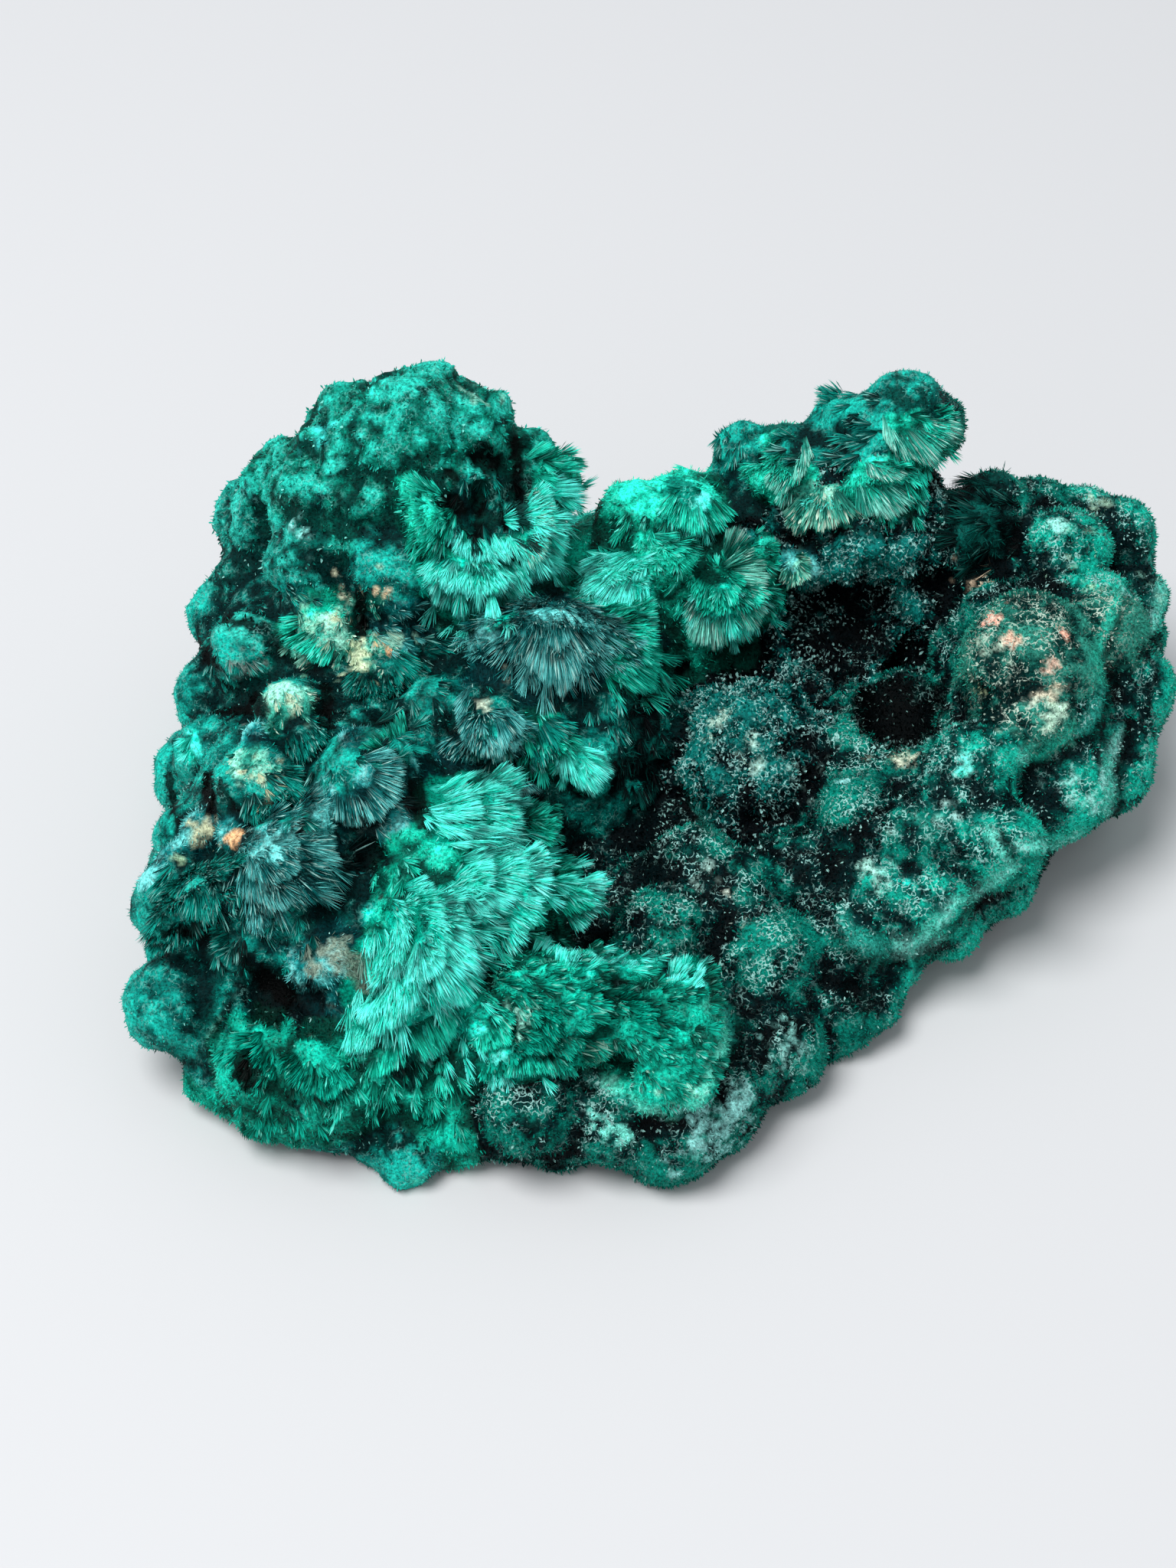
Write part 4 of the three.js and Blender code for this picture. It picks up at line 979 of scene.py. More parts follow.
def swollen(growth, points):
    """Points of a growth, moved out from its middle or in by noise."""
    amount = LOOKS[growth["look"]]["swell"] * rough(points, *SWELL_NOISE)
    return growth["middle"] + (points - growth["middle"]) * (1 + amount)[:, None]


# Colours

def mixed(base, colour, share):
    """Colours with a share of another colour in each."""
    return base + (colour - base) * np.clip(share, 0, 1)[:, None]


def palette(looks, tone):
    """The colour of each point's look for a tone from -1, its darkest, to 1, its lightest."""
    tone = np.clip(tone, -1, 1)
    low, mid, high = (of_look(key)[looks] for key in ("low", "mid", "high"))
    return mixed(mixed(mid, low, -tone), high, tone)


def mottle(points):
    """Light and dark over all growths, in lumps of several sizes."""
    return blended(points, MOTTLE)


# Edges of patches, as shares of their radius: where they are, how wide and ragged they are, and
# how far off nothing is left of them. Then the chance of a speckle, and how hard its own edge is.
PATCH_EDGE = 1.1
PATCH_BLUR = 0.6
PATCH_RAGGED = 0.8
PATCH_END = 2.2
SPECKLE_CHANCE = 0.5
SPECKLE_EDGE = (-0.1, 0.2)


def with_patches(points, colours, strength=1.0):
    """Colours with the patches over them, point by point in a broken edge."""
    ragged = rough(points, *EDGE_NOISE) * PATCH_RAGGED
    chance = blended(points, SPECKLE, SPECKLE_CHANCE)
    colours = colours.copy()
    for middle, radius, colour, amount in SPOTS:
        near = np.flatnonzero(np.abs(points - middle).max(axis=1) < PATCH_END * radius)
        away = np.linalg.norm(points[near] - middle, axis=1) / radius
        share = np.clip((PATCH_EDGE - away + ragged[near]) / PATCH_BLUR, 0, 1) * amount
        cover = smooth(*SPECKLE_EDGE, share - chance[near]) * strength
        colours[near] = mixed(colours[near], colour, cover)
    return colours


def curls(points):
    """Near 1 along winding lines that come in clusters, and 0 elsewhere."""
    line = np.clip(1.3 - 6 * np.abs(noise(points, *CURL_NOISE)), 0, 1)
    return line * smooth(-0.25, 0.3, noise(points, *CURL_CLUSTERS))


# Shade and light of hems, rims and cracks, on a grid over the picture plane

SHADE_STEP = 0.2
SHADE_CORNER = np.array([-45.0, -40.0])
SHADE_CELLS = (450, 400)
# How far out from a path a band lies, away from its growth, and how strong it is.
SHADE_BANDS = ((0.35, 1.0), (0.55, 0.95), (0.8, 0.6), (1.05, 0.3))
LIGHT_BANDS = ((-0.1, 1.0), (-0.3, 0.8), (-0.5, 0.5), (-0.8, 0.25))
CRACK_SHADE = 1.1
# The share of light that full shade takes.
SHADE_STRENGTH = 0.85


def along_path(path, step, reach=0.3):
    """Places at even steps along a path of straight stretches, and the way it runs there."""
    path = np.array(path, float)
    gaps = np.linalg.norm(np.diff(path, axis=0), axis=1)
    far = np.concatenate([[0], np.cumsum(gaps)])
    at = np.arange(step / 2, far[-1], step)
    places, ahead, behind = (
        np.column_stack([np.interp(at + shift, far, path[:, k]) for k in (0, 1)])
        for shift in (0, reach, -reach)
    )
    return places, unit(ahead - behind)


def grid_cells(places):
    """Which cells of a grid places are in."""
    return ((places - SHADE_CORNER) / SHADE_STEP).astype(int)


def on_grid(points, grid):
    """What a grid says where points are seen."""
    return grid[tuple(grid_cells(seen(points)).T)]


def beside_paths(rows, bands):
    """A grid with bands beside paths, softened once."""
    grid = np.zeros(SHADE_CELLS)
    for path, source in rows:
        places, _ = along_path(path, SHADE_STEP)
        flow = unit(places - source)
        for away, depth in bands:
            np.maximum.at(grid, tuple(grid_cells(places + flow * away).T), depth)
    beside = np.roll(grid, 1, 0) + np.roll(grid, -1, 0) + np.roll(grid, 1, 1) + np.roll(grid, -1, 1)
    return 0.4 * grid + 0.15 * beside


def along_cracks():
    """A grid that is full of shade in the cracks."""
    grid = np.zeros(SHADE_CELLS)
    for start, end, radius in CRACKS:
        places, _ = along_path((start, end), SHADE_STEP)
        wide = np.arange(-radius, radius + SHADE_STEP, SHADE_STEP)
        for offset in [(x, y) for x in wide for y in wide if math.hypot(x, y) < radius]:
            grid[tuple(grid_cells(places + offset).T)] = CRACK_SHADE
    return grid


HEM_SHADE = beside_paths([row[:2] for row in HEMS] + RIMS, SHADE_BANDS)
SHADE = np.maximum(HEM_SHADE, along_cracks())
RIM_LIGHT = beside_paths(RIMS, LIGHT_BANDS)


def in_shade(points):
    """How much light hems, rims and cracks take from points."""
    return SHADE_STRENGTH * on_grid(points, SHADE)


# Body

def icosphere(detail):
    """Points and faces of a unit icosphere."""
    form = bmesh.new()
    bmesh.ops.create_icosphere(form, subdivisions=detail, radius=1.0)
    form.verts.ensure_lookup_table()
    points = np.array([v.co[:] for v in form.verts])
    faces = np.array([[v.index for v in f.verts] for f in form.faces])
    form.free()
    return points, faces


def fan_core(fan, sides=20, shorter=0.9, narrower=0.92):
    """A flattened cone with a rounded end, a little inside the needles of a spray."""
    reach = fan["reach"] * shorter
    half = fan["spread"] * narrower
    outline = [(math.sin(half) * s * reach, math.cos(half) * s * reach) for s in (0.3, 0.65, 1)]
    outline += [(math.sin(half * s) * reach, math.cos(half * s) * reach) for s in (0.66, 0.33)]
    points = [fan["nucleus"] - fan["axis"] * 0.15 * reach]
    for radius, along in outline:
        for k in range(sides):
            turn = 2 * math.pi * k / sides
            offset = fan["side"] * math.cos(turn) * radius
            offset = offset + fan["flat"] * math.sin(turn) * radius * SPRAY_FLATNESS
            points.append(fan["nucleus"] + fan["axis"] * along + offset)
    points.append(fan["nucleus"] + fan["axis"] * reach)
    faces = []
    rings, last = len(outline), len(points) - 1
    for k in range(sides):
        n = (k + 1) % sides
        faces.append((0, 1 + k, 1 + n))
        for ring in range(rings - 1):
            a, b = 1 + ring * sides, 1 + (ring + 1) * sides
            faces += [(a + k, b + k, b + n), (a + k, b + n, a + n)]
        top = 1 + (rings - 1) * sides
        faces.append((top + k, last, top + n))
    return np.array(points), np.array(faces)


def raw_body():
    """Every growth's core as one mesh of overlapping closed shells."""
    fine, coarse = icosphere(5), icosphere(3)
    parts = []
    for growth in LUMPS:
        ball_points, ball_faces = fine if growth["kind"] == "mass" else coarse
        outer = swollen(growth, ball_points * growth["half"] + growth["middle"])
        parts.append((outer - unit(ball_points / growth["half"]) * NAP, ball_faces))
    parts += [fan_core(fan) for fan in FANS]
    start = np.cumsum([0] + [len(p) for p, _ in parts])
    points = np.vstack([p for p, _ in parts])
    faces = np.vstack([f + s for (_, f), s in zip(parts, start)])
    return points, faces


def in_scene(name, data):
    """A new object in the scene."""
    made = bpy.data.objects.new(name, data)
    bpy.context.scene.collection.objects.link(made)
    return made


def remeshed(name, points, faces):
    """The outer surface of overlapping shells, as an even mesh."""
    rough_mesh = bpy.data.meshes.new(name)
    rough_mesh.from_pydata((points * MM).tolist(), [], faces.tolist())
    shell = in_scene(name, rough_mesh)
    wrap = shell.modifiers.new("wrap", "REMESH")
    wrap.mode = "VOXEL"
    wrap.voxel_size = VOXEL * MM
    wrap.use_smooth_shade = True
    tris = shell.modifiers.new("triangles", "TRIANGULATE")
    tris.quad_method = "SHORTEST_DIAGONAL"
    ready = shell.evaluated_get(bpy.context.evaluated_depsgraph_get())
    mesh = bpy.data.meshes.new_from_object(ready)
    bpy.data.objects.remove(shell)
    return mesh


def read_from(rows, name, width, kind=np.float32):
    """A value of each row of a mesh's data."""
    values = np.empty(len(rows) * width, kind)
    rows.foreach_get(name, values)
    return values.reshape(-1, width)


def moved(mesh, points):
    """Puts a mesh's points in their places and returns its normals."""
    mesh.vertices.foreach_set("co", (points * MM).astype(np.float32).ravel())
    mesh.update()
    return read_from(mesh.vertices, "normal", 3).astype(float)


def evened(points, edges, steps):
    """Points drawn halfway to the mean of their neighbours, step by step."""
    count = np.bincount(edges.ravel(), minlength=len(points))
    for _ in range(steps):
        mean = np.empty_like(points)
        for axis in range(3):
            total = np.bincount(edges[:, 0], points[edges[:, 1], axis], len(points))
            total += np.bincount(edges[:, 1], points[edges[:, 0], axis], len(points))
            mean[:, axis] = total / count
        points = points + 0.5 * (mean - points)
    return points


def hollowed(points, raggedness=0.5, share=0.9):
    """Points inside a hollow go most of the way to its far wall, along the line of sight."""
    for middle, half in HOLLOWS:
        ragged = raggedness * rough(points, *HOLLOW_NOISE)
        inside = outside(points, middle, half) + ragged < 0
        away = unit(middle - EYE) / half
        start = (points[inside] - middle) / half
        a = away @ away
        b = start @ away
        c = (start**2).sum(axis=1) - 1
        step = (-b + np.sqrt(np.maximum(b * b - a * c, 0))) / a
        points[inside] += unit(middle - EYE) * np.maximum(step, 0)[:, None] * share
    return points


def in_field(places, field, ragged):
    """True for places in the area of a field, which has a ragged edge."""
    middle, half = field[:2]
    return np.linalg.norm((places - middle) / half, axis=1) + ragged < 1


def owners(points, facing):
    """The growth and the look that each point belongs to, and where tufts cover it."""
    mass_handicap, fan_margin, turned_away = 0.5, 1.05, 0.1
    best = np.full(len(points), np.inf)
    growths = np.zeros(len(points), int)
    looks = np.zeros(len(points), int)
    for index, growth in enumerate(LUMPS):
        away = np.abs(outside(points, growth["middle"], growth["half"]) + NAP)
        away += mass_handicap * (growth["kind"] == "mass")
        near = away < best
        best[near] = away[near]
        growths[near] = index
        looks[near] = LOOK_NAMES.index(growth["look"])
    for fan in FANS:
        offset = points - fan["nucleus"]
        along = offset @ fan["axis"]
        wide = np.hypot(offset @ fan["side"], (offset @ fan["flat"]) / SPRAY_FLATNESS)
        angle = np.arctan2(wide, along)
        inside = (np.hypot(wide, along) < fan["reach"]) & (angle < fan["spread"] * fan_margin)
        looks[inside] = LOOK_NAMES.index(fan["look"])
    places = seen(points)
    ragged = 0.25 * flat_noise(places, *FIELD_NOISE)
    covered = np.zeros(len(points), bool)
    for field in FIELDS:
        here = in_field(places, field, ragged) & (facing > turned_away)
        looks[here] = LOOK_NAMES.index(field[3])
        covered |= here
    return growths, looks, covered


def crowned(points, growths, looks):
    """1 on the crown of a dome, 0 on its flanks and 1 all over other growths; and what is a dome."""
    middles = np.array([g["middle"] for g in LUMPS])[growths]
    offset = points - middles
    toward = (offset @ CROWN) / np.linalg.norm(offset, axis=1)
    domed = np.array([name in DOMED for name in LOOK_NAMES])[looks]
    crown = smooth(0.35, 0.8, toward + 0.2 * noise(points, *CROWN_NOISE))
    return np.where(domed, crown, 1), domed


def with_relief(points, normals, looks):
    """Points with the relief of their looks, hollows and a flat underside; and how far they sank."""
    relief = of_look("relief")[looks] * (rough(points, *RELIEF_NOISE) - 0.1)
    raised = points + normals * relief[:, None]
    carved = hollowed(raised.copy())
    sunk = np.linalg.norm(carved - raised, axis=1)
    carved[:, 2] = np.maximum(carved[:, 2], 0)
    return carved, sunk


def body_tone(skin, height, domed):
    """Body tone: its look and mottle, with painted light and shade on its bumps, crowns and rims."""
    # Painted light on bumps and painted shade in creases, from how far a point stands out.
    tone = of_look("contrast")[skin["looks"]] * mottle(skin["points"]) + 2.4 * height
    # Painted sheen on domes: darker at the crown, which faces the eye, and lighter on the flanks.
    tone += np.where(domed, 0.5 - 0.7 * skin["crown"], of_look("skin")[skin["looks"]])
    # Painted highlight where rims are lit.
    return tone + 1.5 * skin["lit"]


def body_dim(skin, sunk, seen_side):
    """The share of light that hollows, hems and cracks leave to the body."""
    druse = skin["looks"] == LOOK_NAMES.index("druse")
    dim = 1 - np.where(druse, 0.2, 0.6) * smooth(0.2, 1.2, sunk)
    return dim * np.where(seen_side, 1 - in_shade(skin["points"]), 1)


def paint_body(mesh, skin):
    """Gives the body its colours, painted light and shade in them, and its flecks with their strength
    as alpha.
    """
    points, looks, tone, dim = (skin[key] for key in ("points", "looks", "tone", "dim"))
    # Painted shade: the ground is 0.5 of a tone darker, so gaps between needles look dark. The rim
    # colour is a painted highlight where rims are lit, and dim is painted shade.
    colours = mixed(palette(looks, tone - 0.5), of_look("rim_sheen")[looks], 0.7 * skin["lit"])
    colours = with_patches(points, colours * dim[:, None])
    tinted(mesh, "tint", np.clip(colours, 0, BRIGHTEST), np.ones(len(points)))
    amount = of_look("flecks")[looks] * dim * smooth(-0.8, 0.4, tone) * (0.2 + 0.8 * skin["crown"])
    tinted(mesh, "fleck", of_look("fleck")[looks], amount)


def body(material):
    """The body, and what its needles need to know of its surface."""
    mesh = remeshed("malachite_body", *raw_body())
    edges = read_from(mesh.edges, "vertices", 2, np.int32)
    points = evened(read_from(mesh.vertices, "co", 3).astype(float) / MM, edges, FUSE_STEPS)
    normals = moved(mesh, points)
    growths, looks, covered = owners(points, normals @ TO_EYE)
    crown, domed = crowned(points, growths, looks)
    points, sunk = with_relief(points, normals, looks)
    normals = moved(mesh, points)
    # How far each point stands out of the smooth form, for painted light on bumps and shade in creases.
    height = ((points - evened(points, edges, SMOOTH_STEPS)) * normals).sum(axis=1)
    seen_side = normals @ TO_EYE > 0
    skin = dict(
        points=points, normals=normals, growths=growths, looks=looks, covered=covered, crown=crown,
        faces=read_from(mesh.loops, "vertex_index", 1, np.int32).reshape(-1, 3),
        lit=on_grid(points, RIM_LIGHT) * seen_side,
    )
    skin["tone"] = body_tone(skin, height, domed)
    skin["dim"] = body_dim(skin, sunk, seen_side)
    paint_body(mesh, skin)
    mesh.materials.clear()
    mesh.materials.append(material)
    return in_scene("malachite_body", mesh), skin


# Needles

# Needles that stand on the body: how many there are, how closely they stand where the body turns
# away from the eye and where tufts cover it, as a share, and how much they rise at the least.
SKIN_NEEDLES = 230000
BACK_SHARE = 0.3
COVERED_SHARE = 0.45
LEAST_RISE = 0.15
# How deep their roots are, in millimetres, and how much of their length is below that.
ROOT_DEPTH = 0.08
ROOT_SHARE = 0.15
# How much chance there is in the faces and tones of needles, and how much darker or lighter than
# its tone a needle's root and tip are: the darker roots are painted shade deep among the needles.
# Tips of tufts are lighter the nearer they are to the hem, a painted highlight along the hem.
FACE_CHANCE = 0.6
TUFT_FACE_CHANCE = 0.5
HEM_FACE_CHANCE = 0.4
SKIN_TONE_CHANCE = 0.45
TUFT_TONE_CHANCE = 0.4
TUFT_MOTTLE = 0.45
SKIN_RAMP = (-0.7, 0.1)
TUFT_ROOT = -1.1
TUFT_TIP = -0.3
TUFT_HEM_LIGHT = 0.9
# Tufts of the sprays: their width in millimetres, needles to a square millimetre and besides, how
# far each layer rises, as a share of the spray's half angle, and looks whose tufts are shorter.
TUFT_WIDTH = 1.5
TUFT_CROWD = 12
TUFT_BASE = 6
LAYERS = (0.0, 0.4, 0.8)
SHORT = {"tongue": 0.6}
# Needles to a petal whose width and reach are a millimetre, and how far in millimetres tips lift.
HEM_NEEDLES = 50
HEM_LIFT = 0.85
# How much wider than others a needle is that lies over the body, and one that is a fleck.
THATCH_SCALE = 1.25
FLECK_SCALE = 1.3
# Where along a needle its belly is, the widest place, and how deep its keel is, as a share of its
# half width. Then the belly's share of the tip's tone and of a fleck, and how light flecks are.
BELLY = (0.5, 0.8)
KEEL = 0.6
BELLY_TONE = 0.4
BELLY_FLECK = 0.9
FLECK_LIGHT = (0.6, 1.1)
# How strong patches are on a needle's root, belly and tip.
PATCH_SHARES = (0.6, 0.9, 1.0)


def laid_flat(ways, normals):
    """Ways without the part of them that runs along the normals."""
    return ways - normals * (ways * normals).sum(axis=1)[:, None]


def from_spans(key, looks):
    """A number for each needle, by chance from the span of its look."""
    spans = of_look(key)[looks]
    return spans[:, 0] + (spans[:, 1] - spans[:, 0]) * RNG.random(len(looks))


def shares(shape, full, shortest, rounding, ragged):
    """How much of a tuft's length its needles have: for a share of them all, less the rounding."""
    part = np.where(RNG.random(shape) < full, 1.0, RNG.uniform(shortest, 1.0, shape))
    return part * (1 - rounding - ragged * RNG.random(shape))


def skin_places(skin):
    """Places on the body, more where a look is crowded and where it is seen, and the point there."""
    faces, points, normals = skin["faces"], skin["points"], skin["normals"]
    turned_away, ground = -0.2, 0.05
    corners = points[faces]
    across = np.cross(corners[:, 1] - corners[:, 0], corners[:, 2] - corners[:, 0])
    first = faces[:, 0]
    share = np.where(normals[first] @ TO_EYE > turned_away, 1.0, BACK_SHARE)
    share *= np.where(skin["covered"][first], COVERED_SHARE, 1.0)
    share *= np.where(points[first][:, 2] < ground, 0.0, 1.0)
    chance = np.linalg.norm(across, axis=1) * of_look("crowd")[skin["looks"][first]] * share
    pick = RNG.choice(len(faces), SKIN_NEEDLES, p=chance / chance.sum())
    weights = RNG.dirichlet((1, 1, 1), SKIN_NEEDLES)
    return (corners[pick] * weights[..., None]).sum(axis=1), first[pick]


def skin_leans(base, normal, growths, looks):
    """Which way each needle on the body points."""
    crowns = np.array([g["middle"] + CROWN * g["half"].min() for g in LUMPS])
    not_zero = 0.01
    out = unit(laid_flat(base - crowns[growths], normal) + not_zero)
    lean = unit(
        normal * of_look("stand")[looks][:, None]
        + out * of_look("comb")[looks][:, None]
        + RNG.normal(size=base.shape) * of_look("splay")[looks][:, None]
    )
    return unit(lean + normal * np.maximum(LEAST_RISE - (lean * normal).sum(axis=1), 0)[:, None])


def skin_needles(skin):
    """Needles that stand on the body."""
    base, own = skin_places(skin)
    normal, looks = skin["normals"][own], skin["looks"][own]
    lean = skin_leans(base, normal, skin["growths"][own], looks)
    length = from_spans("length", looks)
    roots = base - normal * ROOT_DEPTH - lean * (length * ROOT_SHARE)[:, None]
    facing = normal @ TO_EYE
    # Painted sheen where the body turns edge-on to the eye, and a painted highlight where rims are lit.
    edge_on_sheen = smooth(0.4, 0.0, facing) * 0.5
    return dict(
        roots=roots,
        tips=roots + lean * length[:, None],
        faces=normal + FACE_CHANCE * RNG.normal(size=base.shape),
        looks=looks,
        tone=skin["tone"][own] + SKIN_TONE_CHANCE * RNG.normal(size=len(base)),
        ramp=np.repeat([SKIN_RAMP], len(base), axis=0),
        rim_sheen=np.maximum(edge_on_sheen, on_grid(base, RIM_LIGHT) * (facing > 0)),
        dim=skin["dim"][own],
        flecks=(0.1 + 2.6 * curls(base)) * (0.15 + 0.85 * skin["crown"][own]),
        scale=np.ones(len(base)),
    )


def thatch(roots, tips, faces, look, tone, part):
    """Needles that lie over the body, from tufts in rows; part is how near a hem they end."""
    tone = np.broadcast_to(tone, part.shape).ravel()
    roots, tips, faces = (values.reshape(-1, 3) for values in (roots, tips, faces))
    part, count = part.ravel(), part.size
    # Painted shade at the roots, and a painted highlight at tips near the hem.
    end = TUFT_TIP + TUFT_HEM_LIGHT * smooth(0.5, 1.0, part)
    chance = TUFT_TONE_CHANCE * RNG.normal(size=count)
    return dict(
        roots=roots, tips=tips, faces=faces,
        looks=np.full(count, LOOK_NAMES.index(look)),
        tone=tone + LOOKS[look]["tone"] + TUFT_MOTTLE * mottle(tips) + chance,
        ramp=np.column_stack([np.full(count, TUFT_ROOT), end]),
        rim_sheen=np.zeros(count),
        dim=1 - in_shade(tips),
        flecks=0.5 + 1.0 * smooth(0.8, 1.0, part),
        scale=np.full(count, THATCH_SCALE),
    )


def tufts(fan):
    """The tufts that a spray is laid up from: the turn, the rise and how far the tips are."""
    spread, reach = fan["spread"], fan["reach"]
    fewest, overlap, width = 3, 4, 0.96
    made = []
    for rise in LAYERS:
        count = max(fewest, int(overlap * spread * reach / TUFT_WIDTH))
        for k in range(count):
            across = ((k + RNG.uniform(0.2, 0.8)) / count * 2 - 1) * width
            made.append((across, rise, RNG.uniform(0.92, 1.0)))
    for _ in range(int(spread * reach**2 / TUFT_WIDTH)):
        made.append((RNG.uniform(-0.95, 0.95), RNG.uniform(0.8, 0.95), RNG.uniform(0.35, 0.95)))
    return [
        (across * spread, -rise * math.sqrt(1 - across * across) * spread, hem * reach)
        for across, rise, hem in made
    ]


def fan_needles(fan):
    """Needles of a spray, in tufts laid over each other out to its fringe."""
    half_turn, lift, lift_chance, stray = 0.42, 0.06, 0.12, 0.08
    sets = []
    for across, rise, hem in tufts(fan):
        along = (
            fan["axis"] * math.cos(math.hypot(across, rise))
            + fan["side"] * math.sin(across)
            + fan["flat"] * math.sin(rise) * SPRAY_FLATNESS
        )
        along = along / np.linalg.norm(along)
        wide = unit(fan["side"] - along * (fan["side"] @ along))
        up = np.cross(along, wide)
        up = up * np.sign(up @ -fan["flat"])
        length = min(hem * 0.8, RNG.uniform(1.4, 2.4) * SHORT.get(fan["look"], 1))
        start = fan["nucleus"] + along * (hem - length)
        count = int(TUFT_WIDTH * length * TUFT_CROWD) + TUFT_BASE
        turn = RNG.uniform(-1, 1, count)
        rays = unit(
            along
            + wide * (turn * half_turn)[:, None]
            + up * (lift + lift_chance * RNG.normal(size=count))[:, None]
            + stray * RNG.normal(size=(count, 3))
        )
        part = shares(count, full=0.45, shortest=0.45, rounding=0.22 * turn**2, ragged=0.1)
        tips = start + rays * (part * length)[:, None]
        roots = start + rays * (0.2 * length)
        faces = up + TUFT_FACE_CHANCE * RNG.normal(size=(count, 3))
        sets.append(thatch(roots, tips, faces, fan["look"], RNG.normal() * 0.4, part))
    return joined(sets)


def joined(sets):
    """Several sets of needles as one."""
    return {key: np.concatenate([part[key] for part in sets]) for key in sets[0]}


def chosen(needles, keep):
    """The needles of a set that are to be kept."""
    return {key: value[keep] for key, value in needles.items()}


def body_surface(tree, places):
    """Where lines of sight meet the body, and the body's normal there."""
    hits, normals = [], []
    for place in places:
        found = tree.ray_cast(EYE.tolist(), sight(place).tolist())
        hits.append(found[0] if found[0] else (math.nan,) * 3)
        normals.append(found[1] if found[1] else (0, 0, 1))
    return np.array(hits), np.array(normals)


def in_space(ways):
    """Ways in the picture plane as ways in space."""
    return ways[:, :1] * [1, 0, 0] + ways[:, 1:] * PICTURE_UP


def laid_tufts(places, flow, reach, look, tree, tone):
    """Tufts that lie over the body from places of the picture plane, each along its flow."""
    beside, toward_eye, above, below = 0.35, 0.6, 0.08, 0.05
    hits, normals = body_surface(tree, places)
    _, more = body_surface(tree, places + RNG.normal(size=places.shape) * beside)
    normals = unit(normals + more + toward_eye * TO_EYE)
    found = ~np.isnan(hits[:, 0])
    hits, normals, flow, tone = hits[found], normals[found], flow[found], tone[found]
    along = unit(laid_flat(in_space(flow), normals))
    wide = np.cross(along, normals)
    shape = (len(hits), TUFT_NEEDLES)
    length = reach * RNG.uniform(0.7, 1.15, (len(hits), 1))
    veer = np.clip(RNG.normal(size=shape) * 0.24, -0.6, 0.6)
    lift = RNG.uniform(0.02, 0.22, (len(hits), 1)) + 0.05 * RNG.normal(size=shape)
    rays = unit(
        along[:, None] + wide[:, None] * veer[..., None] + normals[:, None] * lift[..., None]
    )
    part = shares(shape, full=0.4, shortest=0.5, rounding=0.9 * veer**2, ragged=0.08)
    tips = hits[:, None] + rays * (part * length)[..., None] + above * normals[:, None]
    roots = np.repeat((hits - below * normals)[:, None], TUFT_NEEDLES, axis=1)
    faces = normals[:, None] + TUFT_FACE_CHANCE * RNG.normal(size=rays.shape)
    return thatch(roots, tips, faces, look, tone[:, None], part)


def field_needles(field, tree):
    """Tufts of needles that lie over the body and run away from a place."""
    middle, half, source, look, reach = field
    count = int(math.pi * half[0] * half[1] * TUFTS) + 1
    turn = RNG.uniform(0, 2 * math.pi, count)
    out = np.sqrt(RNG.random(count))[:, None]
    places = middle + np.column_stack([np.cos(turn), np.sin(turn)]) * half * out
    flow = unit(places - source) + 0.22 * RNG.normal(size=places.shape)
    drift = noise(np.column_stack([places, out]), *TUFT_NOISE)
    tone = 0.45 * RNG.normal(size=count) + 0.6 * drift - 0.1
    return laid_tufts(places, flow, reach, look, tree, tone)


def petals(hem, width, tree):
    """The petals that a sheet is laid up from: root, tip, side, normal and tone."""
    path, source, _, reach = hem
    spacing, stray, furthest, inside, past_edge, most_stretch = 0.6, 0.12, 0.9, 0.25, 0.3, 1.5
    middles, ways = along_path(path, width * spacing)
    middles = middles + RNG.normal(size=middles.shape) * stray * width
    flow = unit(middles - source)
    length = np.minimum(reach, furthest * np.linalg.norm(middles - source, axis=1))
    length = length * RNG.uniform(0.75, 1.05, len(length))
    tone = RNG.normal(size=len(middles)) * 0.35 + 0.25
    base, base_normals = body_surface(tree, middles - flow * length[:, None])
    edge, edge_normals = body_surface(tree, middles - flow * (inside * length)[:, None])
    normals = unit(base_normals + edge_normals + 0.8 * TO_EYE)
    tip = edge + (edge - base) * past_edge
    stretch = np.linalg.norm(tip - base, axis=1) / length
    tip = base + (tip - base) * np.minimum(1, most_stretch / stretch)[:, None]
    found = ~np.isnan(base[:, 0]) & ~np.isnan(edge[:, 0])
    return [values[found] for values in (base, tip, in_space(ways), normals, tone)]


def hem_needles(hem, tree):
    """A sheet of fibres in petals, from inside a growth out to its hem."""
    look, reach = hem[2:]
    width = np.clip(0.4 * reach, 0.4, 1.2)
    base, tip, side, normals, tone = petals(hem, width, tree)
    shape = (len(base), int(HEM_NEEDLES * width * (0.6 + 0.4 * reach)))
    turn = RNG.uniform(-1, 1, shape)
    part = shares(shape, full=0.5, shortest=0.55, rounding=0.16 * np.abs(turn), ragged=0.08)
    fan = side[:, None] * (turn * width * 0.75)[..., None]
    run = (tip - base)[:, None]
    lift = HEM_LIFT * min(1.0, reach) * (0.4 + 0.9 * RNG.random(shape)) * (1 - 0.3 * turn**2)
    tips = base[:, None] + run * part[..., None] + fan * part[..., None]
    tips = tips + normals[:, None] * lift[..., None]
    roots = base[:, None] + fan * 0.3 + run * (0.25 * RNG.random(shape))[..., None]
    faces = normals[:, None] + HEM_FACE_CHANCE * RNG.normal(size=tips.shape)
    return thatch(roots, tips, faces, look, tone[:, None], part)


def clear_of_growths(tips):
    """True for tips that no growth buries and that are above the ground."""
    ground = 0.1
    keep = tips[:, 2] > ground
    for growth in BEFORE_KNOBS:
        keep &= outside(tips, growth["middle"], growth["half"]) > -BURIED
    return keep


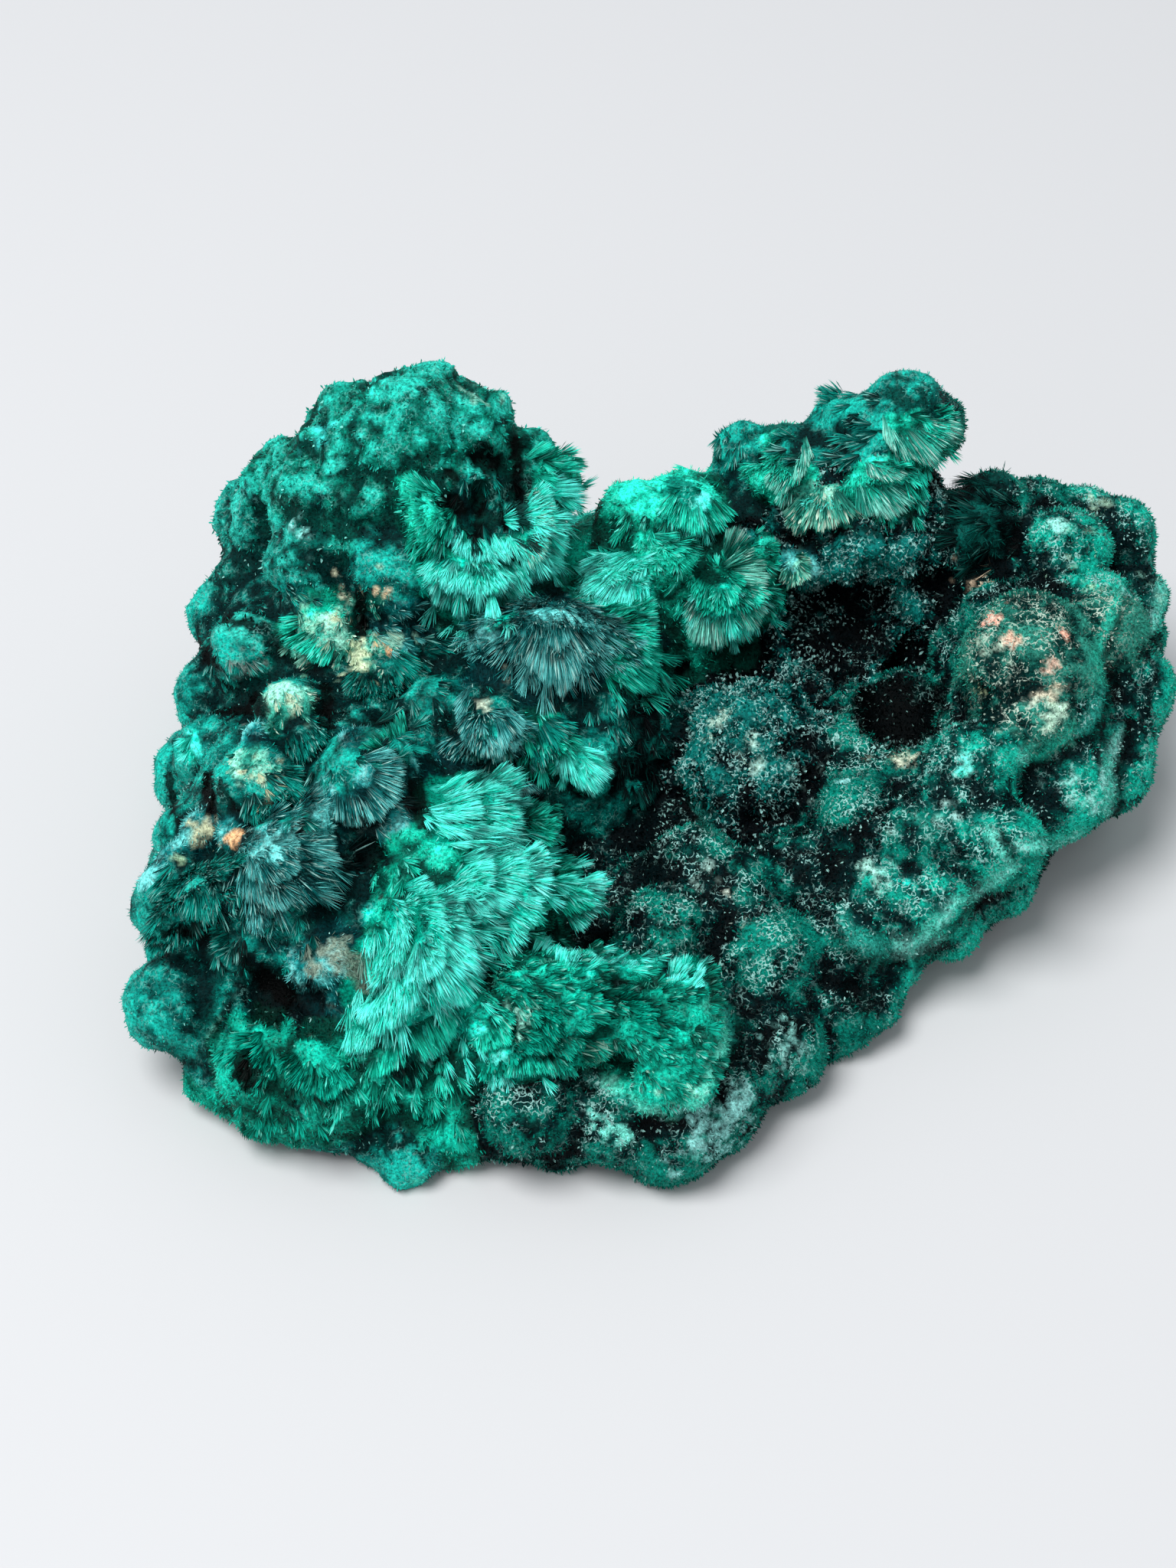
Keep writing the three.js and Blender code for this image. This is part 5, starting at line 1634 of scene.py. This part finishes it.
def needle_colours(needles, marked):
    """The colours of the four corners of each needle."""
    looks, tone, tips = needles["looks"], needles["tone"], needles["tips"]
    ends = needles["ramp"]
    root = palette(looks, tone + ends[:, 0])
    belly = palette(looks, tone + BELLY_TONE * ends[:, 1])
    tip = palette(looks, tone + ends[:, 1])
    # Tips take the painted rim sheen and highlight.
    tip = mixed(tip, of_look("rim_sheen")[looks], needles["rim_sheen"])
    fleck = of_look("fleck")[looks] * RNG.uniform(*FLECK_LIGHT, (len(tips), 1))
    tip[marked] = fleck[marked]
    belly[marked] = BELLY_FLECK * fleck[marked]
    root, belly, tip = (
        np.clip(with_patches(tips, colour, strength) * needles["dim"][:, None], 0, BRIGHTEST)
        for colour, strength in zip((root, belly, tip), PATCH_SHARES)
    )
    return np.stack([root, belly, tip, belly], axis=1)


def blades(roots, tips, widths, faces):
    """Two-faced blades, widest near the tip, with a keel from root to tip."""
    along = tips - roots
    side = unit(np.cross(along, faces))
    lift = unit(np.cross(side, along))
    belly = roots + along * RNG.uniform(*BELLY, (len(roots), 1))
    half = widths[:, None]
    right = belly + (side - KEEL * lift) * half
    left = belly - (side + KEEL * lift) * half
    corners = np.stack([roots, right, tips, left], axis=1)
    corners[..., 2] = np.maximum(corners[..., 2], 0)
    start = 4 * np.arange(len(roots))[:, None, None]
    triangles = start + np.array([[0, 1, 2], [0, 2, 3]])
    return corners.reshape(-1, 3), triangles.reshape(-1, 3)


def all_needles(skin, tree):
    """Every needle: its root, tip, face, half width and the colours of its corners."""
    fans = joined([fan_needles(fan) for fan in FANS])
    fans = chosen(fans, clear_of_growths(fans["tips"]))
    fields = joined([field_needles(field, tree) for field in FIELDS])
    hems = joined([hem_needles(hem, tree) for hem in HEMS])
    needles = joined([skin_needles(skin), fans, fields, hems])
    looks = needles["looks"]
    marked = RNG.random(len(looks)) < of_look("flecks")[looks] * needles["flecks"]
    widths = from_spans("width", looks) * needles["scale"]
    widths *= np.where(marked, FLECK_SCALE, 1)
    places = {key: needles[key] for key in ("roots", "tips", "faces")}
    return dict(**places, widths=widths, colours=needle_colours(needles, marked))


# Meshes

def needle_piece(name, needles, material):
    """A piece of many needles, with a colour on each corner."""
    points, faces = blades(*(needles[key] for key in ("roots", "tips", "widths", "faces")))
    colours = needles["colours"].reshape(-1, 3)
    mesh = bpy.data.meshes.new(name)
    mesh.vertices.add(len(points))
    mesh.vertices.foreach_set("co", (points * MM).astype(np.float32).ravel())
    mesh.loops.add(faces.size)
    mesh.loops.foreach_set("vertex_index", faces.astype(np.int32).ravel())
    mesh.polygons.add(len(faces))
    mesh.polygons.foreach_set("loop_start", np.arange(0, faces.size, 3, dtype=np.int32))
    mesh.update(calc_edges=True)
    tinted(mesh, "tint", colours, np.ones(len(colours)))
    mesh.materials.append(material)
    return in_scene(name, mesh)


def tinted(mesh, name, colours, amount):
    """Gives a mesh a named layer of colours on its points, with an amount as their alpha."""
    layer = mesh.color_attributes.new(name=name, type="FLOAT_COLOR", domain="POINT")
    rgba = np.column_stack([colours, amount]).astype(np.float32)
    layer.data.foreach_set("color", rgba.ravel())


def tree_of(skin):
    """The body as a tree that lines of sight can be cast at, in millimetres."""
    return BVHTree.FromPolygons(skin["points"].tolist(), skin["faces"].tolist())


# Materials

# Scales of the materials' noises, in lumps to a metre, then how much the surface shines, how rough
# the ground between the needles is, and its bumps.
NEEDLE_GRAIN = 2500
GROUND_GRAIN = 4500
FLECK_LINES = 2100
FLECK_CLUSTERS = 600
SHINE = 0.05
GROUND_ROUGHNESS = 0.6
BUMP_STRENGTH = 0.6
BUMP_HEIGHT = 0.25 * MM
# The sockets of a mix node that take two colours, and the one that gives the result.
FIRST, SECOND, RESULT = 6, 7, 2


def new_material(name):
    material = bpy.data.materials.new(name)
    material.use_nodes = True
    tree = material.node_tree
    shader = next(n for n in tree.nodes if n.type == "BSDF_PRINCIPLED")
    return material, tree, shader


def fine_noise(tree, scale, detail=3.0):
    """Noise over a material, in the object's own space."""
    place = tree.nodes.new("ShaderNodeTexCoord")
    grain = tree.nodes.new("ShaderNodeTexNoise")
    grain.inputs["Scale"].default_value = scale
    grain.inputs["Detail"].default_value = detail
    grain.inputs["Roughness"].default_value = 0.65
    tree.links.new(place.outputs["Object"], grain.inputs["Vector"])
    return grain.outputs["Fac"]


def ranged(tree, value, span, target):
    """A value whose span becomes the target span."""
    change = tree.nodes.new("ShaderNodeMapRange")
    for name, number in zip(("From Min", "From Max", "To Min", "To Max"), span + target):
        change.inputs[name].default_value = number
    tree.links.new(value, change.inputs["Value"])
    return change.outputs["Result"]


def calculated(tree, operation, *values):
    """What an operation makes of numbers and sockets."""
    node = tree.nodes.new("ShaderNodeMath")
    node.operation = operation
    for socket, value in zip(node.inputs, values):
        if isinstance(value, (int, float)):
            socket.default_value = value
        else:
            tree.links.new(value, socket)
    return node.outputs["Value"]


def attribute(tree, name):
    """A layer of colours, for a material."""
    node = tree.nodes.new("ShaderNodeAttribute")
    node.attribute_name = name
    return node


def tint_times(tree, shade):
    """The tint of a corner, made lighter and darker."""
    times = tree.nodes.new("ShaderNodeVectorMath")
    times.operation = "SCALE"
    tree.links.new(attribute(tree, "tint").outputs["Color"], times.inputs[0])
    tree.links.new(shade, times.inputs["Scale"])
    return times.outputs["Vector"]


def needle_material():
    material, tree, shader = new_material("malachite_needles")
    grain = fine_noise(tree, NEEDLE_GRAIN)
    colour = tint_times(tree, ranged(tree, grain, (0.3, 0.7), (0.8, 1.25)))
    tree.links.new(colour, shader.inputs["Base Color"])
    tree.links.new(ranged(tree, grain, (0, 1), (0.4, 0.6)), shader.inputs["Roughness"])
    shader.inputs["Specular IOR Level"].default_value = SHINE
    return material


def fleck_amount(tree, fleck):
    """How much fleck colour shows: winding lines, in clusters."""
    middle = calculated(tree, "SUBTRACT", fine_noise(tree, FLECK_LINES, 1.5), 0.5)
    line = ranged(tree, calculated(tree, "ABSOLUTE", middle), (0.01, 0.045), (1, 0))
    cluster = ranged(tree, fine_noise(tree, FLECK_CLUSTERS, 2.0), (0.44, 0.58), (0, 2.6))
    lines = calculated(tree, "MULTIPLY", line, cluster)
    amount = calculated(tree, "MULTIPLY", lines, fleck.outputs["Alpha"])
    return calculated(tree, "MINIMUM", amount, 1.0)


def body_material():
    """Ground between the needles, with winding pale lines in clusters."""
    material, tree, shader = new_material("malachite_ground")
    grain = fine_noise(tree, GROUND_GRAIN)
    fleck = attribute(tree, "fleck")
    blend = tree.nodes.new("ShaderNodeMix")
    blend.data_type = "RGBA"
    tree.links.new(fleck_amount(tree, fleck), blend.inputs["Factor"])
    ground = tint_times(tree, ranged(tree, grain, (0.3, 0.7), (0.3, 2.1)))
    tree.links.new(ground, blend.inputs[FIRST])
    tree.links.new(fleck.outputs["Color"], blend.inputs[SECOND])
    tree.links.new(blend.outputs[RESULT], shader.inputs["Base Color"])
    shader.inputs["Roughness"].default_value = GROUND_ROUGHNESS
    shader.inputs["Specular IOR Level"].default_value = SHINE
    bump = tree.nodes.new("ShaderNodeBump")
    bump.inputs["Strength"].default_value = BUMP_STRENGTH
    bump.inputs["Distance"].default_value = BUMP_HEIGHT
    tree.links.new(grain, bump.inputs["Height"])
    tree.links.new(bump.outputs["Normal"], shader.inputs["Normal"])
    return material


# Floor, light and camera, in metres

FLOOR_HALF = 3.0
FLOOR_COLOUR = (0.55, 0.555, 0.565, 1)
FLOOR_ROUGHNESS = 0.9
SKY_COLOUR = (0.93, 0.96, 1.0, 1)
SKY_STRENGTH = 0.6
LAMP_PLACE = (-0.2, -0.12, 0.6)
LAMP_TARGET = (0, 0, 0.01)
LAMP_WIDTH = 0.4
LAMP_POWER = 4.6
# The camera's lens and film in millimetres, and how near it sees, in metres.
LENS = 64.7
FILM_WIDTH = 36
NEAREST = 0.01


def floor():
    corners = [(-FLOOR_HALF, -FLOOR_HALF), (FLOOR_HALF, -FLOOR_HALF)]
    corners += [(FLOOR_HALF, FLOOR_HALF), (-FLOOR_HALF, FLOOR_HALF)]
    mesh = bpy.data.meshes.new("floor")
    mesh.from_pydata([(x, y, 0) for x, y in corners], [], [(0, 1, 2, 3)])
    material, _, shader = new_material("floor")
    shader.inputs["Base Color"].default_value = FLOOR_COLOUR
    shader.inputs["Roughness"].default_value = FLOOR_ROUGHNESS
    mesh.materials.append(material)
    plane = in_scene("floor", mesh)


def lighting():
    world = bpy.data.worlds.new("studio")
    bpy.context.scene.world = world
    world.use_nodes = True
    sky = world.node_tree.nodes["Background"]
    sky.inputs["Color"].default_value = SKY_COLOUR
    sky.inputs["Strength"].default_value = SKY_STRENGTH
    light = bpy.data.lights.new("key", "AREA")
    light.shape = "DISK"
    light.size = LAMP_WIDTH
    light.energy = LAMP_POWER
    lamp = in_scene("key", light)
    lamp.location = LAMP_PLACE
    aim = Vector(LAMP_TARGET) - Vector(LAMP_PLACE)
    lamp.rotation_euler = aim.to_track_quat("-Z", "Y").to_euler()


def camera():
    data = bpy.data.cameras.new("camera")
    data.lens = LENS
    data.sensor_width = FILM_WIDTH
    data.clip_start = NEAREST
    view = in_scene("camera", data)
    view.location = EYE * MM
    view.rotation_euler = (math.pi / 2 - VIEW_ELEVATION, 0, 0)
    bpy.context.scene.camera = view


# Everything together

# The most needles in a piece, and how far past the CAD's box a tip may be, in millimetres.
PIECE_NEEDLES = 95000
MARGIN = 0.3


def needle_pieces(skin, box, material):
    """Needles from left to right, in pieces of even size."""
    needles = all_needles(skin, tree_of(skin))
    low, high = (np.array(corner) / MM for corner in box)
    within = (needles["tips"] > low - MARGIN) & (needles["tips"] < high + MARGIN)
    needles = chosen(needles, within.all(axis=1))
    order = np.argsort(needles["roots"][:, 0], kind="stable")
    parts = np.array_split(order, math.ceil(len(order) / PIECE_NEEDLES))
    return [
        needle_piece(f"needles_{k + 1}", chosen(needles, part), material)
        for k, part in enumerate(parts)
    ]


def dress(box):
    """The body and its needles, each on the part's one body."""
    needles_look = needle_material()
    ground, skin = body(body_material())
    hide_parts("velvet_malachite")
    for piece in [ground, *needle_pieces(skin, box, needles_look)]:
        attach(piece, "root")


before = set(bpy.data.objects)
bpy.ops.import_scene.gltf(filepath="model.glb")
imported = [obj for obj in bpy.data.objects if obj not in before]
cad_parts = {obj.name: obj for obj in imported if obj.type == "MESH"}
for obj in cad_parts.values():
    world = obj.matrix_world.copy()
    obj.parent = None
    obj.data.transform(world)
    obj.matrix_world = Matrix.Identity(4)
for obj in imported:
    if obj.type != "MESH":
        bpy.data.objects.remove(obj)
cad_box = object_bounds()
bpy.context.scene.view_settings.view_transform = "Standard"
dress(cad_box)
floor()
lighting()
camera()
